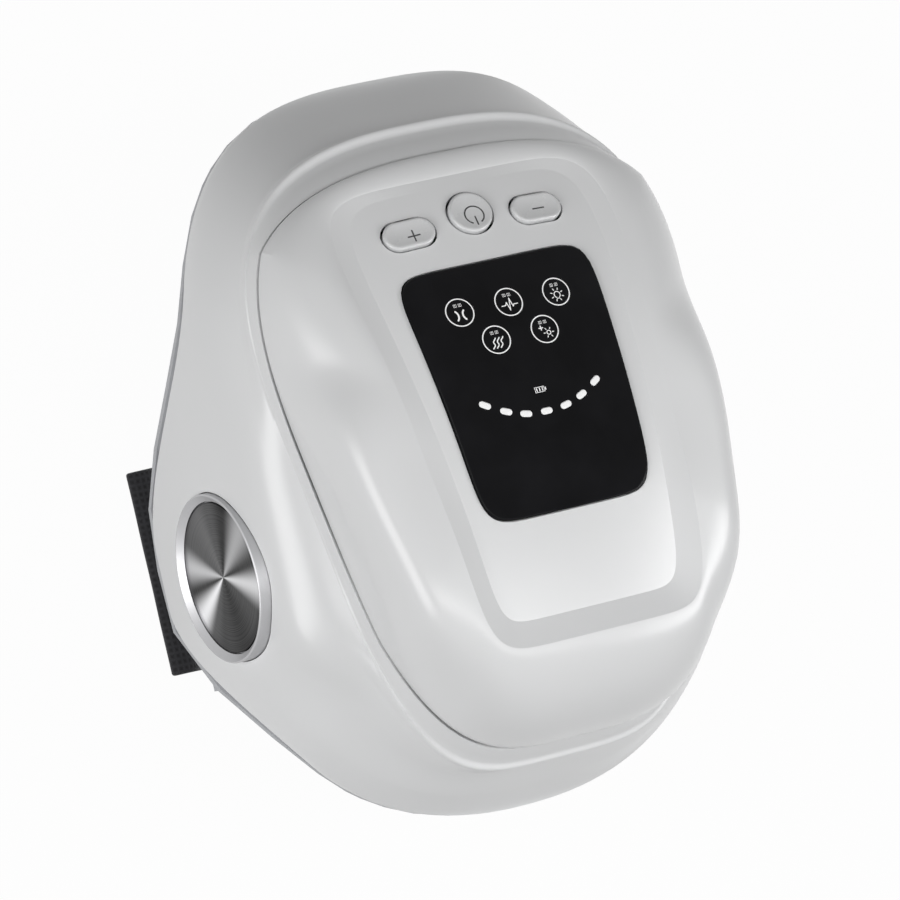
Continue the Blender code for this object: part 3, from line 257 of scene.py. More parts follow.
# Rows of the skins as shares: up the shell's wall and over its ledge
flank_rows = [0.0, 0.0001, 0.012] + [0.03 + 0.90 * step / 40 for step in range(41)]
flank_rows += [0.945, 0.957, 0.967, 0.976, 0.984, 0.992]
ledge_rows = [0.0, 0.04, 0.08, 0.13, 0.19, 0.26, 0.5, 0.86, 0.95, 1.0]

# Then over the dome, down the recess's wall and over its floor
dome_rows = [0.0, 0.003] + [0.012 + 0.963 * step / 46 for step in range(47)] + [0.985, 0.993, 1.0]
recess_rows = [0.04, 0.10, 0.3, 0.5, 0.7, 0.90, 0.96]
floor_rows = [1.0, 0.993, 0.98, 0.9, 0.78, 0.64, 0.5, 0.36, 0.22, 0.1, 0.0]
seam_rows = 5

# Where along the wall and the ledge the bead, the fold and the groove lie, as shares
bead_wall_share = 0.93
bead_ledge_share = 0.26
fold_low_shares = (0.30, 0.65)
fold_high_shares = (0.70, 0.95)
groove_share = 0.86

# How a skin gets its wall
inwards = {"offset": -1.0, "use_even_offset": True, "use_rim": True}

# Band: height of its ripple, its radians in a metre, steps across and turns round the edges
ripple_height = 0.000072
ripple_along = 140
across_steps = 30
edge_turns = (0.45, 0.9, 1.57, 2.24, 2.69)

# Fine lengths: gaps within which points merge, a sliver, a millimetre, and the thickness of marks
skin_gap = 0.000002
turned_gap = 0.000001
copy_gap = 0.00001
sliver = 0.000004
millimetre = 0.001
print_thickness = 0.00005
symbol_thickness = 0.00004

# Gap round a cap as a multiple of the slide gap, and depth of its dish as a share of its edge
cap_gap = 1.7
cap_dish = 0.25

# Where the panel's marks are centred along the leg, and how far the panel leans there
marks_along = 0.0248
marks_lean = math.radians(13)

# Roughness of every noise, the scale at which a wave crosses one thread, and a weave's depth
grain_share = 0.55
wave_scale = 1 / 6
weave_depth = 0.00012

# Heights of the bezel's round, chamfer, disc seat and foot, and a small step
bezel_round = 0.00045
bezel_chamfer = 0.0010
disc_thickness = 0.0014
bezel_foot = 0.0012
step_down = 0.0001

# Sides of a cutting bar and of a turned piece
bore_sides = 96
turned_sides = 128

# Turned disc: height of its crown, its rings as shares of the radius, and the share left open
disc_crown = 0.0003
disc_shares = (0.9, 0.78, 0.64, 0.5, 0.36, 0.22, 0.1, 0.02)
pole_share = 0.02

# Painted highlight fans of the turned disc: its painted brightness in directions round it, in degrees
painted_fan_stops = ((-120, 1.0), (-97, 0.02), (-76, 0.60), (-55, 0.10), (-20, 0.14), (0, 0.08), (26, 0.01),
             (54, 0.45), (83, 0.01), (102, 0.75), (125, 0.06), (168, 0.02), (200, 0.05), (220, 0.10))

# Stage: how far the floor lies below the object, its grey, and where the lamps point
floor_drop = 0.0002
floor_grey = 0.60
lamp_target = Vector((0, 0, 0.06))
lamps = (
    ("left_softbox", (-1.00, -0.13, 0.70), 0.95, 0.60, "left"),
    ("right_softbox", (0.77, -0.25, 0.89), 0.60, 0.40, "right"),
    ("top_softbox", (0.00, -0.25, 1.22), 0.90, 0.30, "top"),
)


def settings(name):
    return getattr(bpy.context.scene, name)


def eased(share):
    share = min(1.0, max(0.0, share))
    return share * share * (3 - 2 * share)


def between(shares, share):
    """Smooth rise from 0 to 1 between two shares."""
    return eased((share - shares[0]) / (shares[1] - shares[0]))


# Outlines of the body

known_reach = {}


def outline_named(name):
    group = settings("knee_body") if name in ("rim", "crease", "seam") else settings("knee_cover")
    return tuple(getattr(group, name)) + tuple(getattr(group, name + "_shares"))


def reach(name, angle, start=0.0):
    """Distance from the point (0, start) to a named outline, in a direction from +Y towards +X."""
    key = (name, round(angle, 6), start)
    if key in known_reach:
        return known_reach[key]
    half_width, thigh, shin, widest, thigh_square, shin_square, taper = outline_named(name)
    middle = (thigh + shin) / 2
    half_length = (thigh - shin) / 2
    low = 0.0
    high = 2 * (half_length + half_width)
    for step in range(34):
        distance = (low + high) / 2
        across = distance * abs(math.sin(angle))
        along = start + distance * math.cos(angle)
        square = thigh_square if along > widest else shin_square
        end = thigh - widest if along > widest else widest - shin
        width = half_width * (1 + taper * (along - middle) / half_length)
        if width <= 0 or (across / width) ** square + (abs(along - widest) / end) ** square > 1:
            high = distance
        else:
            low = distance
    known_reach[key] = low
    return low


def point_at(angle, distance, height=0.0):
    return Vector((distance * math.sin(angle), distance * math.cos(angle), height))


def direction(turn):
    """Angle for a share of the way round, with the steps bunched at the four corners."""
    side = 1 if turn <= 0.5 else -1
    way = (turn if turn <= 0.5 else 1 - turn) * 2 * 4
    spans = ((0.0, thigh_corner, True), (thigh_corner, math.pi / 2, False),
             (math.pi / 2, shin_corner, True), (shin_corner, math.pi, False))
    place = min(3, int(way))
    share = way - place
    start, stop, closing = spans[place]
    share = 1 - (1 - share) ** bunching if closing else share ** bunching
    return side * (start + (stop - start) * share)


def rim_height(along):
    body = settings("knee_body")
    thigh = between(thigh_rise, along) * (body.thigh_rim - body.wing_edge)
    shin = between(shin_rise, along) * (body.shin_rim - body.wing_edge)
    return body.wing_edge + thigh + shin


def crease_height(angle):
    """Level of the crease: it lies lower at both ends than at the sides."""
    body = settings("knee_body")
    return body.crease_end + (body.crease_side - body.crease_end) * math.sin(angle) ** 2


def shell_edge(angle):
    key = ("edge", round(angle, 6))
    if key in known_reach:
        return known_reach[key]
    body = settings("knee_body")
    step = math.radians(0.5)
    start, stop = (point_at(turn, reach("rim", turn)) for turn in (angle - step, angle + step))
    slope = abs(rim_height(stop.y) - rim_height(start.y)) / (stop - start).length
    here = rim_height(reach("rim", angle) * math.cos(angle))
    stretch = math.sqrt(1 + slope ** 2)
    known_reach[key] = here + lining_wall * stretch + body.joint + rim_twist_share * body.wall * slope
    return known_reach[key]


def flank_point(angle, share):
    body = settings("knee_body")
    side = math.sin(angle) ** 2
    rim = reach("rim", angle)
    crease = reach("crease", angle)
    discs = settings("knee_discs")
    near = eased(disc_near * (1 - abs(rim * math.cos(angle) - discs.along) / discs.spread))
    drafted = disc_draft * share ** 2 + (1 - disc_draft) * share ** disc_fullness
    plan = near * drafted + (1 - near) * share ** (end_fullness ** (1 - side) * side_fullness ** side)
    distance = rim + (crease - rim) * plan
    edge = shell_edge(angle) + (body.lip if share > 0 else 0)
    return point_at(angle, distance, edge + (crease_height(angle) - edge) * share)


def ledge_point(angle, share):
    body = settings("knee_body")
    crease = reach("crease", angle)
    seam = min(reach("seam", angle), crease - 3 * body.joint)
    low = crease_height(angle)
    high = body.seam_end + (body.seam_side - body.seam_end) * math.sin(angle) ** 2
    return point_at(angle, crease + (seam - crease) * share, low + (high - low) * share)


def floor_height(across, along):
    cover = settings("knee_cover")
    arc = (along - cover.floor_top_at) ** 2 / (2 * cover.floor_arc)
    return cover.floor_top - arc - cover.floor_crown * (across / cover.recess_floor[0]) ** 2


def recess_rim_height(angle):
    cover = settings("knee_cover")
    distance = reach("recess_rim", angle)
    away = eased((math.pi - abs(angle)) / (math.pi - thigh_corner))
    shin = eased((abs(angle) - math.pi / 2) / (shin_corner - math.pi / 2))
    depth = cover.side_depth + (cover.shin_depth - cover.side_depth) * shin
    fade = eased(abs(angle) / (thigh_corner * 2))
    level = floor_height(distance * math.sin(angle), distance * math.cos(angle))
    return level + depth * fade * min(1.0, away + shin)


def dome_fullness(away):
    """Squareness of the dome's side: fullest over the wings, softer towards both ends."""
    cover = settings("knee_cover")
    rise_start, rise_stop, fall_start, fall_stop = cover.fuller
    thigh, side, shin = cover.fullness
    rise = eased((away - rise_start) / (rise_stop - rise_start))
    fall = eased((fall_stop - away) / (fall_stop - fall_start))
    end = thigh if away < rise_stop else shin
    return end + (side - end) * rise * fall


def dome_point(angle, way):
    """Point on the dome; way goes from 0 at the seam to 1 at the recess rim."""
    cover = settings("knee_cover")
    seam = ledge_point(angle, 1.0)
    start = math.hypot(seam.x, seam.y)
    rim = min(reach("recess_rim", angle), start - cover.wall)
    top = recess_rim_height(angle)
    fullness = dome_fullness(abs(angle))
    halfway = math.sqrt(0.5) ** (2 / fullness)
    if way < 0.5:
        turn = way * math.pi / 2
        share = 1 - math.cos(turn) ** (2 / fullness)
        rise = math.sin(turn) ** (2 / fullness)
    else:
        left = halfway * (1 - way) * 2
        share = 1 - left
        rise = (1 - left ** fullness) ** (1 / fullness)
    distance = start + (rim - start) * share
    low = seam.z + settings("knee_body").joint
    return point_at(angle, distance, low + (top - low) * rise)


def floor_point(angle, share):
    point = point_at(angle, reach("recess_floor", angle) * share)
    point.z = floor_height(point.x, point.y)
    return point


def floor_place(across, along):
    """Frame standing on the recess floor, +Z out of it and +Y up its slope."""
    cover = settings("knee_cover")
    slope = math.atan((along - cover.floor_top_at) / cover.floor_arc)
    tip = math.atan(2 * cover.floor_crown * across / cover.recess_floor[0] ** 2)
    turn = Matrix.Rotation(-slope, 4, "X") @ Matrix.Rotation(tip, 4, "Y")
    return Matrix.Translation((across, along, floor_height(across, along))) @ turn


# Modelling steps

def choose(piece):
    if bpy.context.object and bpy.context.object.mode != "OBJECT":
        bpy.ops.object.mode_set(mode="OBJECT")
    bpy.ops.object.select_all(action="DESELECT")
    piece.select_set(True)
    bpy.context.view_layer.objects.active = piece


def named(name):
    piece = bpy.context.active_object
    piece.name = name
    piece.data.name = name
    return piece


def added(maker, name, **values):
    """New object from one of Blender's own shapes."""
    bpy.ops.object.select_all(action="DESELECT")
    maker(**values)
    return named(name)


def edit_all(piece):
    """Opens the piece's mesh with everything selected."""
    choose(piece)
    bpy.ops.object.mode_set(mode="EDIT")
    bpy.ops.mesh.select_all(action="SELECT")


def merged(piece, gap):
    """Merges the points that lie within a gap and turns all faces outwards."""
    edit_all(piece)
    bpy.ops.mesh.remove_doubles(threshold=gap)
    bpy.ops.mesh.normals_make_consistent(inside=False)
    bpy.ops.object.mode_set(mode="OBJECT")
    return piece


def settle(piece):
    """Puts the piece's place into its mesh."""
    choose(piece)
    bpy.ops.object.transform_apply(location=True, rotation=True, scale=True)
    return piece


def skin(name, around, rows, place):
    """Grid pulled over a surface: place(share round, row number) gives each point."""
    piece = added(bpy.ops.mesh.primitive_grid_add, name, x_subdivisions=around, y_subdivisions=rows - 1,
                  size=1.0, calc_uvs=True)
    for vertex in piece.data.vertices:
        turn = min(1.0, max(0.0, vertex.co.x + 0.5))
        row = int(round((vertex.co.y + 0.5) * (rows - 1)))
        vertex.co = place(turn % 1.0, row)
    return merged(piece, skin_gap)


def face_outwards(piece, middle):
    """Turns an open skin over if most of it faces the given middle."""
    outward = sum(1 if (face.center - middle).dot(face.normal) > 0 else -1 for face in piece.data.polygons)
    if outward < 0:
        edit_all(piece)
        bpy.ops.mesh.flip_normals()
        bpy.ops.object.mode_set(mode="OBJECT")


def apply_modifier(piece, kind, **values):
    choose(piece)
    modifier = piece.modifiers.new(kind.lower(), kind)
    for key, value in values.items():
        setattr(modifier, key, value)
    bpy.ops.object.modifier_apply(modifier=modifier.name)


def cut(piece, cutter):
    apply_modifier(piece, "BOOLEAN", operation="DIFFERENCE", solver="EXACT", object=cutter)
    bpy.data.objects.remove(cutter)


def clean(piece):
    """Clears the slivers and the doubled faces that cutting leaves."""
    choose(piece)
    bpy.ops.object.mode_set(mode="EDIT")
    bpy.ops.mesh.select_mode(type="FACE")
    bpy.ops.mesh.select_all(action="DESELECT")
    bpy.ops.mesh.select_face_by_sides(number=4, type="GREATER")
    bpy.ops.mesh.quads_convert_to_tris()
    bpy.ops.mesh.select_all(action="SELECT")
    bpy.ops.mesh.remove_doubles(threshold=sliver)
    bpy.ops.mesh.dissolve_degenerate(threshold=sliver)
    bpy.ops.mesh.select_all(action="DESELECT")
    bpy.ops.object.mode_set(mode="OBJECT")
    corners = {}
    for face in piece.data.polygons:
        corners.setdefault(frozenset(face.vertices), []).append(face.index)
    for same in corners.values():
        for index in same if len(same) > 1 else ():
            piece.data.polygons[index].select = True
    bpy.ops.object.mode_set(mode="EDIT")
    bpy.ops.mesh.delete(type="FACE")
    bpy.ops.mesh.select_mode(type="VERT")
    bpy.ops.object.mode_set(mode="OBJECT")


def bar(name, radius, depth, centre):
    """Plain upright bar to cut with."""
    return settle(added(bpy.ops.mesh.primitive_cylinder_add, name, vertices=bore_sides, radius=radius,
                        depth=depth, location=centre))


def shade(piece, angle=35):
    choose(piece)
    bpy.ops.object.shade_smooth_by_angle(angle=math.radians(angle))


def turned(name, profile, place):
    """Spins a profile of (radius, height) points about Z and stands the piece at its place."""
    piece = added(bpy.ops.mesh.primitive_circle_add, name, vertices=turned_sides, radius=profile[0][0])
    edit_all(piece)
    bpy.ops.transform.translate(value=(0, 0, profile[0][1]))
    for before, after in zip(profile, profile[1:]):
        bpy.ops.mesh.extrude_region_move(TRANSFORM_OT_translate={"value": (0, 0, after[1] - before[1])})
        factor = after[0] / before[0]
        bpy.ops.transform.resize(value=(factor, factor, 1))
    merged(piece, turned_gap)
    piece.data.transform(place)
    return piece


def pill(name, length, height, rows, place, sides=64):
    """Closed pill shape: rows are (growth, level) from the bottom to the top."""
    piece = added(bpy.ops.mesh.primitive_cylinder_add, name, vertices=sides, radius=0.5, depth=1.0)
    bpy.ops.object.mode_set(mode="EDIT")
    shape = bmesh.from_edit_mesh(piece.data)
    for face in shape.faces:
        face.select_set(face.normal.z > 0.5)
    shape.select_flush(True)
    bmesh.update_edit_mesh(piece.data)
    for row in rows[2:]:
        bpy.ops.mesh.extrude_region_move(TRANSFORM_OT_translate={"value": (0, 0, 1)})
    bpy.ops.object.mode_set(mode="OBJECT")
    for vertex in piece.data.vertices:
        grow, level = rows[int(round(vertex.co.z + 0.5))]
        radius = height / 2 + grow
        straight = max(0.0, (length - height) / 2)
        angle = math.atan2(vertex.co.y, vertex.co.x)
        x = radius * math.cos(angle)
        y = radius * math.sin(angle)
        if abs(x) > radius * 0.001:
            x += straight if x > 0 else -straight
        vertex.co = (x, y, level)
    piece.data.transform(place)
    return piece


# Finishes

def opaque(colour):
    colour = tuple(colour)
    return colour if len(colour) == 4 else colour + (1.0,)


class Finish:
    """Builds one node material."""

    def __init__(self, name, colour, roughness, metallic=0.0):
        self.material = bpy.data.materials.new(name)
        self.material.use_nodes = True
        self.tree = self.material.node_tree
        self.surface = self.tree.nodes["Principled BSDF"]
        self.set("Base Color", opaque(colour))
        self.set("Roughness", roughness)
        self.set("Metallic", metallic)
        self.bumps = None

    def set(self, socket, value):
        self.surface.inputs[socket].default_value = value

    def node(self, kind):
        return self.tree.nodes.new("ShaderNode" + kind)

    def link(self, source, target):
        self.tree.links.new(source, target)

    def coordinates(self, scale=(1, 1, 1), source="Object", move=(0, 0, 0)):
        coordinate = self.node("TexCoord")
        mapping = self.node("Mapping")
        mapping.inputs["Scale"].default_value = scale
        mapping.inputs["Location"].default_value = move
        self.link(coordinate.outputs[source], mapping.inputs["Vector"])
        return mapping.outputs["Vector"]

    def noise(self, size, detail=3.0):
        noise = self.node("TexNoise")
        noise.inputs["Scale"].default_value = 1.0 / size
        noise.inputs["Detail"].default_value = detail
        noise.inputs["Roughness"].default_value = grain_share
        self.link(self.coordinates(), noise.inputs["Vector"])
        return noise.outputs["Fac"]

    def maths(self, operation, first, second=None, third=None):
        node = self.node("Math")
        node.operation = operation
        for socket, value in zip(node.inputs, (first, second, third)):
            if value is None:
                continue
            if isinstance(value, (int, float)):
                socket.default_value = value
            else:
                self.link(value, socket)
        return node.outputs["Value"]

    def spread(self, value, low, high, from_low=0.0, from_high=1.0):
        node = self.node("MapRange")
        node.inputs["From Min"].default_value = from_low
        node.inputs["From Max"].default_value = from_high
        node.inputs["To Min"].default_value = low
        node.inputs["To Max"].default_value = high
        self.link(value, node.inputs["Value"])
        return node.outputs["Result"]

    def mix(self, share, first, second):
        node = self.node("Mix")
        node.data_type = "RGBA"
        for socket, value in zip(node.inputs[6:8], (first, second)):
            if hasattr(value, "is_linked"):
                self.link(value, socket)
            else:
                socket.default_value = opaque(value)
        self.link(share, node.inputs[0])
        return node.outputs[2]

    def colour_from(self, value):
        self.link(value, self.surface.inputs["Base Color"])

    def shades(self, value, colour, dark, light, low=0.3, high=0.7):
        """Lets the colour run from a first to a second tint with a value."""
        share = self.spread(value, 0.0, 1.0, low, high)
        self.colour_from(self.mix(share, tinted(colour, dark), tinted(colour, light)))

    def rough(self, value, smooth, coarse, low=0.3, high=0.7):
        """Lets the roughness run with a value."""
        self.link(self.spread(value, smooth, coarse, low, high), self.surface.inputs["Roughness"])

    def bump(self, value, height):
        node = self.node("Bump")
        node.inputs["Distance"].default_value = height
        self.link(value, node.inputs["Height"])
        if self.bumps is not None:
            self.link(self.bumps, node.inputs["Normal"])
        self.bumps = node.outputs["Normal"]
        self.link(self.bumps, self.surface.inputs["Normal"])


def tinted(colour, factor):
    return tuple(min(1.0, channel * factor) for channel in tuple(colour)[:3]) + (1.0,)


def moulded(name, colour, roughness, grain=0.00035, depth=0.000012, coat=0.0):
    """Moulded plastic: faint shade drift, fine moulding grain and rubbed patches."""
    finish = Finish(name, colour, roughness)
    drift = finish.noise(0.035, 2.0)
    finish.shades(drift, colour, 0.965, 1.02)
    rubbed = finish.noise(0.006, 5.0)
    finish.rough(rubbed, roughness * 0.86, roughness * 1.18)
    finish.bump(finish.noise(grain, 2.0), depth)
    finish.set("Coat Weight", coat)
    finish.set("Coat Roughness", 0.08)
    return finish.material


def shell_white():
    colour = settings("knee_colours").white
    finish = Finish("shell_white", colour, 0.22)
    drift = finish.noise(0.055, 2.0)
    finish.shades(drift, colour, 0.99, 1.005, 0.32, 0.68)
    rubbed = finish.noise(0.012, 6.0)
    finish.rough(rubbed, 0.30, 0.32)
    finish.bump(finish.noise(0.0016, 2.0), 0.0000015)
    finish.set("Coat Weight", 0.30)
    finish.set("Coat Roughness", 0.24)
    finish.set("Specular IOR Level", 0.5)
    return finish.material


def panel_glass():
    colour = settings("knee_colours").glass
    finish = Finish("panel_glass", colour, 0.07)
    dust = finish.noise(0.0007, 8.0)
    finish.rough(dust, 0.05, 0.11, 0.45, 0.75)
    haze = finish.noise(0.02, 3.0)
    finish.shades(haze, colour, 0.8, 1.5, 0.35, 0.7)
    finish.set("Specular IOR Level", 0.06)
    return finish.material


def panel_mark():
    colour = settings("knee_colours").mark
    finish = Finish("panel_mark", colour, 0.35)
    speck = finish.noise(0.0004, 3.0)
    finish.shades(speck, colour, 0.92, 1.05)
    # A faint emission lets the printed marks glow though they are no lamp: painted light
    finish.set("Emission Color", tuple(colour))
    finish.set("Emission Strength", 0.25)
    return finish.material


def symbol_ink():
    colour = settings("knee_colours").symbol
    finish = Finish("symbol_ink", colour, 0.4)
    speck = finish.noise(0.0003, 3.0)
    finish.shades(speck, colour, 0.7, 1.5)
    finish.rough(speck, 0.32, 0.5)
    return finish.material


def bezel_silver():
    colour = settings("knee_colours").silver
    finish = Finish("bezel_silver", colour, 0.24, 1.0)
    fine = finish.noise(0.0012, 6.0)
    finish.rough(fine, 0.44, 0.50)
    finish.colour_from(finish.mix(finish.noise(0.01, 3.0), tinted(colour, 0.95), tinted(colour, 1.05)))
    finish.bump(finish.noise(0.0002, 2.0), 0.0000008)
    return finish.material


def turned_metal():
    """Spun metal: fine rings and grooves running round, and the two bright fans that such rings throw,
    painted into the colour as a painted highlight.
    """
    colour = settings("knee_colours").turned
    discs = settings("knee_discs")
    finish = Finish("turned_metal", colour, 0.32, 1.0)
    place = finish.coordinates(move=(0, -discs.along, -discs.height))
    parts = finish.node("SeparateXYZ")
    finish.link(place, parts.inputs["Vector"])
    across = parts.outputs["Y"]
    up = parts.outputs["Z"]
    radius = finish.maths("SQRT", finish.maths("ADD", finish.maths("MULTIPLY", across, across),
                                               finish.maths("MULTIPLY", up, up)))
    angle = finish.maths("ARCTAN2", up, across)
    combined = finish.node("CombineXYZ")
    finish.link(finish.maths("MULTIPLY", radius, 1800.0), combined.inputs["X"])
    rings = finish.node("TexNoise")
    rings.inputs["Scale"].default_value = 2.0
    rings.inputs["Detail"].default_value = 5.0
    finish.link(combined.outputs["Vector"], rings.inputs["Vector"])
    # Painted highlight: a ramp of bright and dark fans round the disc, added to the rings' tone and spread
    # from 0.03 to 7.5 times the tint below
    ramp = finish.node("ValToRGB")
    elements = ramp.color_ramp.elements
    places = sorted([((degrees % 360) / 360, bright) for degrees, bright in painted_fan_stops] + [(1.0, 0.08)])
    while len(elements) < len(places):
        elements.new(0.5)
    for element, (share, bright) in zip(elements, places):
        element.position = share
        element.color = (bright, bright, bright, 1.0)
    around = finish.maths("FRACT", finish.maths("MULTIPLY_ADD", angle, 0.5 / math.pi, 1.0))
    finish.link(around, ramp.inputs["Fac"])
    ramp.color_ramp.interpolation = "EASE"
    rings_and_painted_fans = finish.maths("MULTIPLY_ADD", finish.spread(rings.outputs["Fac"], -0.1, 0.1, 0.3, 0.7), 0.6,
                         ramp.outputs["Color"])
    finish.shades(rings_and_painted_fans, colour, 0.03, 7.5, 0.0, 1.0)
    finish.rough(rings.outputs["Fac"], 0.30, 0.44)
    finish.bump(rings.outputs["Fac"], 0.00002)
    finish.set("Anisotropic", 0.7)
    tangent = finish.node("Tangent")
    tangent.direction_type = "UV_MAP"
    finish.link(tangent.outputs["Tangent"], finish.surface.inputs["Tangent"])
    return finish.material


def woven(name, colour, pitch, source="Object"):
    """Plain weave from two crossed waves, with fibre noise and pilling, and painted shade where the weave
    lies low.
    """
    finish = Finish(name, colour, 0.9)
    place = finish.coordinates(scale=(1 / pitch,) * 3, source=source)
    waves = []
    for way in ("X", "Y"):
        wave = finish.node("TexWave")
        wave.wave_type = "BANDS"
        wave.bands_direction = way
        wave.inputs["Scale"].default_value = wave_scale
        wave.inputs["Distortion"].default_value = 0.4
        wave.inputs["Detail"].default_value = 1.0
        finish.link(place, wave.inputs["Vector"])
        waves.append(wave.outputs["Fac"])
    cloth = finish.maths("MAXIMUM", waves[0], waves[1])
    fibre = finish.noise(0.00025, 6.0)
    pile = finish.noise(0.0045, 4.0)
    # Where the crossed waves and the fibres lie low the colour falls to 0.45 of the tint: painted shade
    # between the threads, partly the fibres' random tone; the lighter pile patches are the cloth's own
    # pilling
    mixed = finish.maths("MULTIPLY_ADD", fibre, 0.5, finish.maths("MULTIPLY", cloth, 0.6))
    shown = finish.spread(mixed, 0.0, 1.0, 0.25, 1.0)
    rubbed = finish.mix(finish.spread(pile, 0.0, 1.0, 0.3, 0.7), tinted(colour, 1.5), tinted(colour, 2.3))
    finish.colour_from(finish.mix(shown, tinted(colour, 0.45), rubbed))
    finish.rough(fibre, 0.78, 0.98, 0.0, 1.0)
    finish.bump(cloth, weave_depth)
    finish.bump(fibre, weave_depth / 2)
    finish.set("Sheen Weight", 0.35)
    finish.set("Sheen Roughness", 0.4)
    finish.set("Specular IOR Level", 0.3)
    return finish.material


def metal(name, colour, roughness):
    finish = Finish(name, colour + (1.0,), roughness, 1.0)
    stain = finish.noise(0.004, 5.0)
    finish.colour_from(finish.mix(stain, tinted(colour, 0.82), tinted(colour, 1.12)))
    finish.rough(finish.noise(0.0008, 6.0), roughness * 0.8, roughness * 1.3)
    finish.bump(finish.noise(0.00025, 3.0), 0.000004)
    return finish.material


def circuit_board():
    """Green board with copper runs under its lacquer."""
    base = (0.012, 0.10, 0.045, 1.0)
    finish = Finish("circuit_board", base, 0.42)
    brick = finish.node("TexBrick")
    brick.inputs["Scale"].default_value = 260.0
    brick.inputs["Mortar Size"].default_value = 0.03
    brick.inputs["Color1"].default_value = base
    brick.inputs["Color2"].default_value = tinted(base, 0.8)
    brick.inputs["Mortar"].default_value = (0.06, 0.26, 0.09, 1.0)
    finish.link(finish.coordinates(), brick.inputs["Vector"])
    stain = finish.spread(finish.noise(0.004, 3.0), 0.0, 0.5)
    finish.colour_from(finish.mix(stain, brick.outputs["Color"], base))
    finish.bump(brick.outputs["Fac"], 0.00004)
    finish.set("Coat Weight", 0.3)
    return finish.material


def red_window():
    finish = Finish("red_window", (0.30, 0.012, 0.010, 1.0), 0.16)
    swirl = finish.noise(0.005, 4.0)
    finish.colour_from(finish.mix(swirl, (0.22, 0.008, 0.008, 1.0), (0.40, 0.022, 0.018, 1.0)))
    finish.rough(finish.noise(0.001, 5.0), 0.12, 0.24)
    finish.set("Coat Weight", 0.4)
    return finish.material


def cell_wrap():
    finish = Finish("cell_wrap", (0.03, 0.14, 0.36, 1.0), 0.35)
    wrinkle = finish.noise(0.003, 6.0)
    finish.colour_from(finish.mix(wrinkle, (0.025, 0.12, 0.32, 1.0), (0.04, 0.17, 0.42, 1.0)))
    finish.rough(wrinkle, 0.28, 0.45)
    finish.bump(wrinkle, 0.00008)
    return finish.material


def hook_tape():
    """Rows of small hooks, their tops painted lighter and the gaps between them darker as painted highlight
    and painted shade.
    """
    base = (0.02, 0.02, 0.022, 1.0)
    finish = Finish("hook_tape", base, 0.7)
    cells = finish.node("TexVoronoi")
    cells.inputs["Scale"].default_value = 900.0
    finish.link(finish.coordinates(), cells.inputs["Vector"])
    # The colour runs from 2.6 times the tint at each hook's top to half of it between the hooks: painted
    # highlight and painted shade
    finish.shades(cells.outputs["Distance"], base, 2.6, 0.5, 0.0, 0.7)
    finish.bump(cells.outputs["Distance"], -0.0003)
    return finish.material


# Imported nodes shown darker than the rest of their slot
dark_nodes = ("charging_port", "valve_left", "valve_right")
finishes = {}


def finish_named(name):
    """Material for a record slot, made once."""
    if name not in finishes:
        colours = settings("knee_colours")
        makers = {
            "white_shell": shell_white,
            "display_panel": panel_glass,
            "panel_mark": panel_mark,
            "symbol_ink": symbol_ink,
            "button_caps": lambda: moulded("button_caps", colours.button, 0.26, coat=0.25),
            "bezel_metal": bezel_silver,
            "turned_metal": turned_metal,
            "strap_textile": lambda: woven("strap_textile", colours.textile, 1.0, "UV"),
            "cushion_textile": lambda: woven("cushion_textile", colours.cushion, 0.0011),
            "leg_lining": lambda: moulded("leg_lining", colours.lining, 0.55, 0.0006, 0.00003),
            "heater": lambda: woven("heater", (0.05, 0.05, 0.055), 0.0012),
            "red_window": red_window,
            "frame_plastic": lambda: moulded("frame_plastic", (0.30, 0.31, 0.33), 0.6, 0.0005, 0.00003),
            "board": circuit_board,
            "dark_plastic": lambda: moulded("dark_plastic", (0.03, 0.03, 0.033), 0.45),
            "cell_wrap": cell_wrap,
            "steel": lambda: metal("steel", (0.55, 0.56, 0.58), 0.28),
            "weight_brass": lambda: metal("weight_brass", (0.62, 0.46, 0.20), 0.3),
            "soft_rubber": lambda: moulded("soft_rubber", (0.04, 0.04, 0.043), 0.85, 0.0004, 0.00004),
            "hook_tape": hook_tape,
            "tube_plastic": lambda: moulded("tube_plastic", (0.66, 0.67, 0.68), 0.38),
        }
        finishes[name] = makers[name]()
    return finishes[name]


def dress(piece, slot, body="body", replaced=()):
    piece.data.materials.clear()
    piece.data.materials.append(finish_named(slot))
    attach(piece, body)
    if replaced:
        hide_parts(*replaced)


# Pieces

class KneePieceOperator:
    bl_options = {"REGISTER", "UNDO"}


def shell_place(turn, row):
    """Point of the shell: wall with fold and bead, then ledge with the groove along the seam."""
    body = settings("knee_body")
    angle = direction(turn)
    outwards = point_at(angle, 1.0)
    bead = body.bead * (1 - 0.9 * math.sin(angle) ** 4)
    if row < len(flank_rows):
        share = flank_rows[row]
        fold = body.fold * between((math.pi / 2, 3 * math.pi / 4), abs(angle))
        fold *= between(fold_low_shares, share) * (1 - between(fold_high_shares, share))
        swell = bead * between((bead_wall_share, 1.0), share)
        return flank_point(angle, share) + Vector((0, 0, swell)) + outwards * (swell / 2 - fold)
    share = ledge_rows[row - len(flank_rows)]
    swell = bead * (1 - between((0.0, bead_ledge_share), share))
    sunk = body.groove * between((groove_share, 1.0), share)
    return ledge_point(angle, share) + Vector((0, 0, swell - sunk)) + outwards * swell / 2


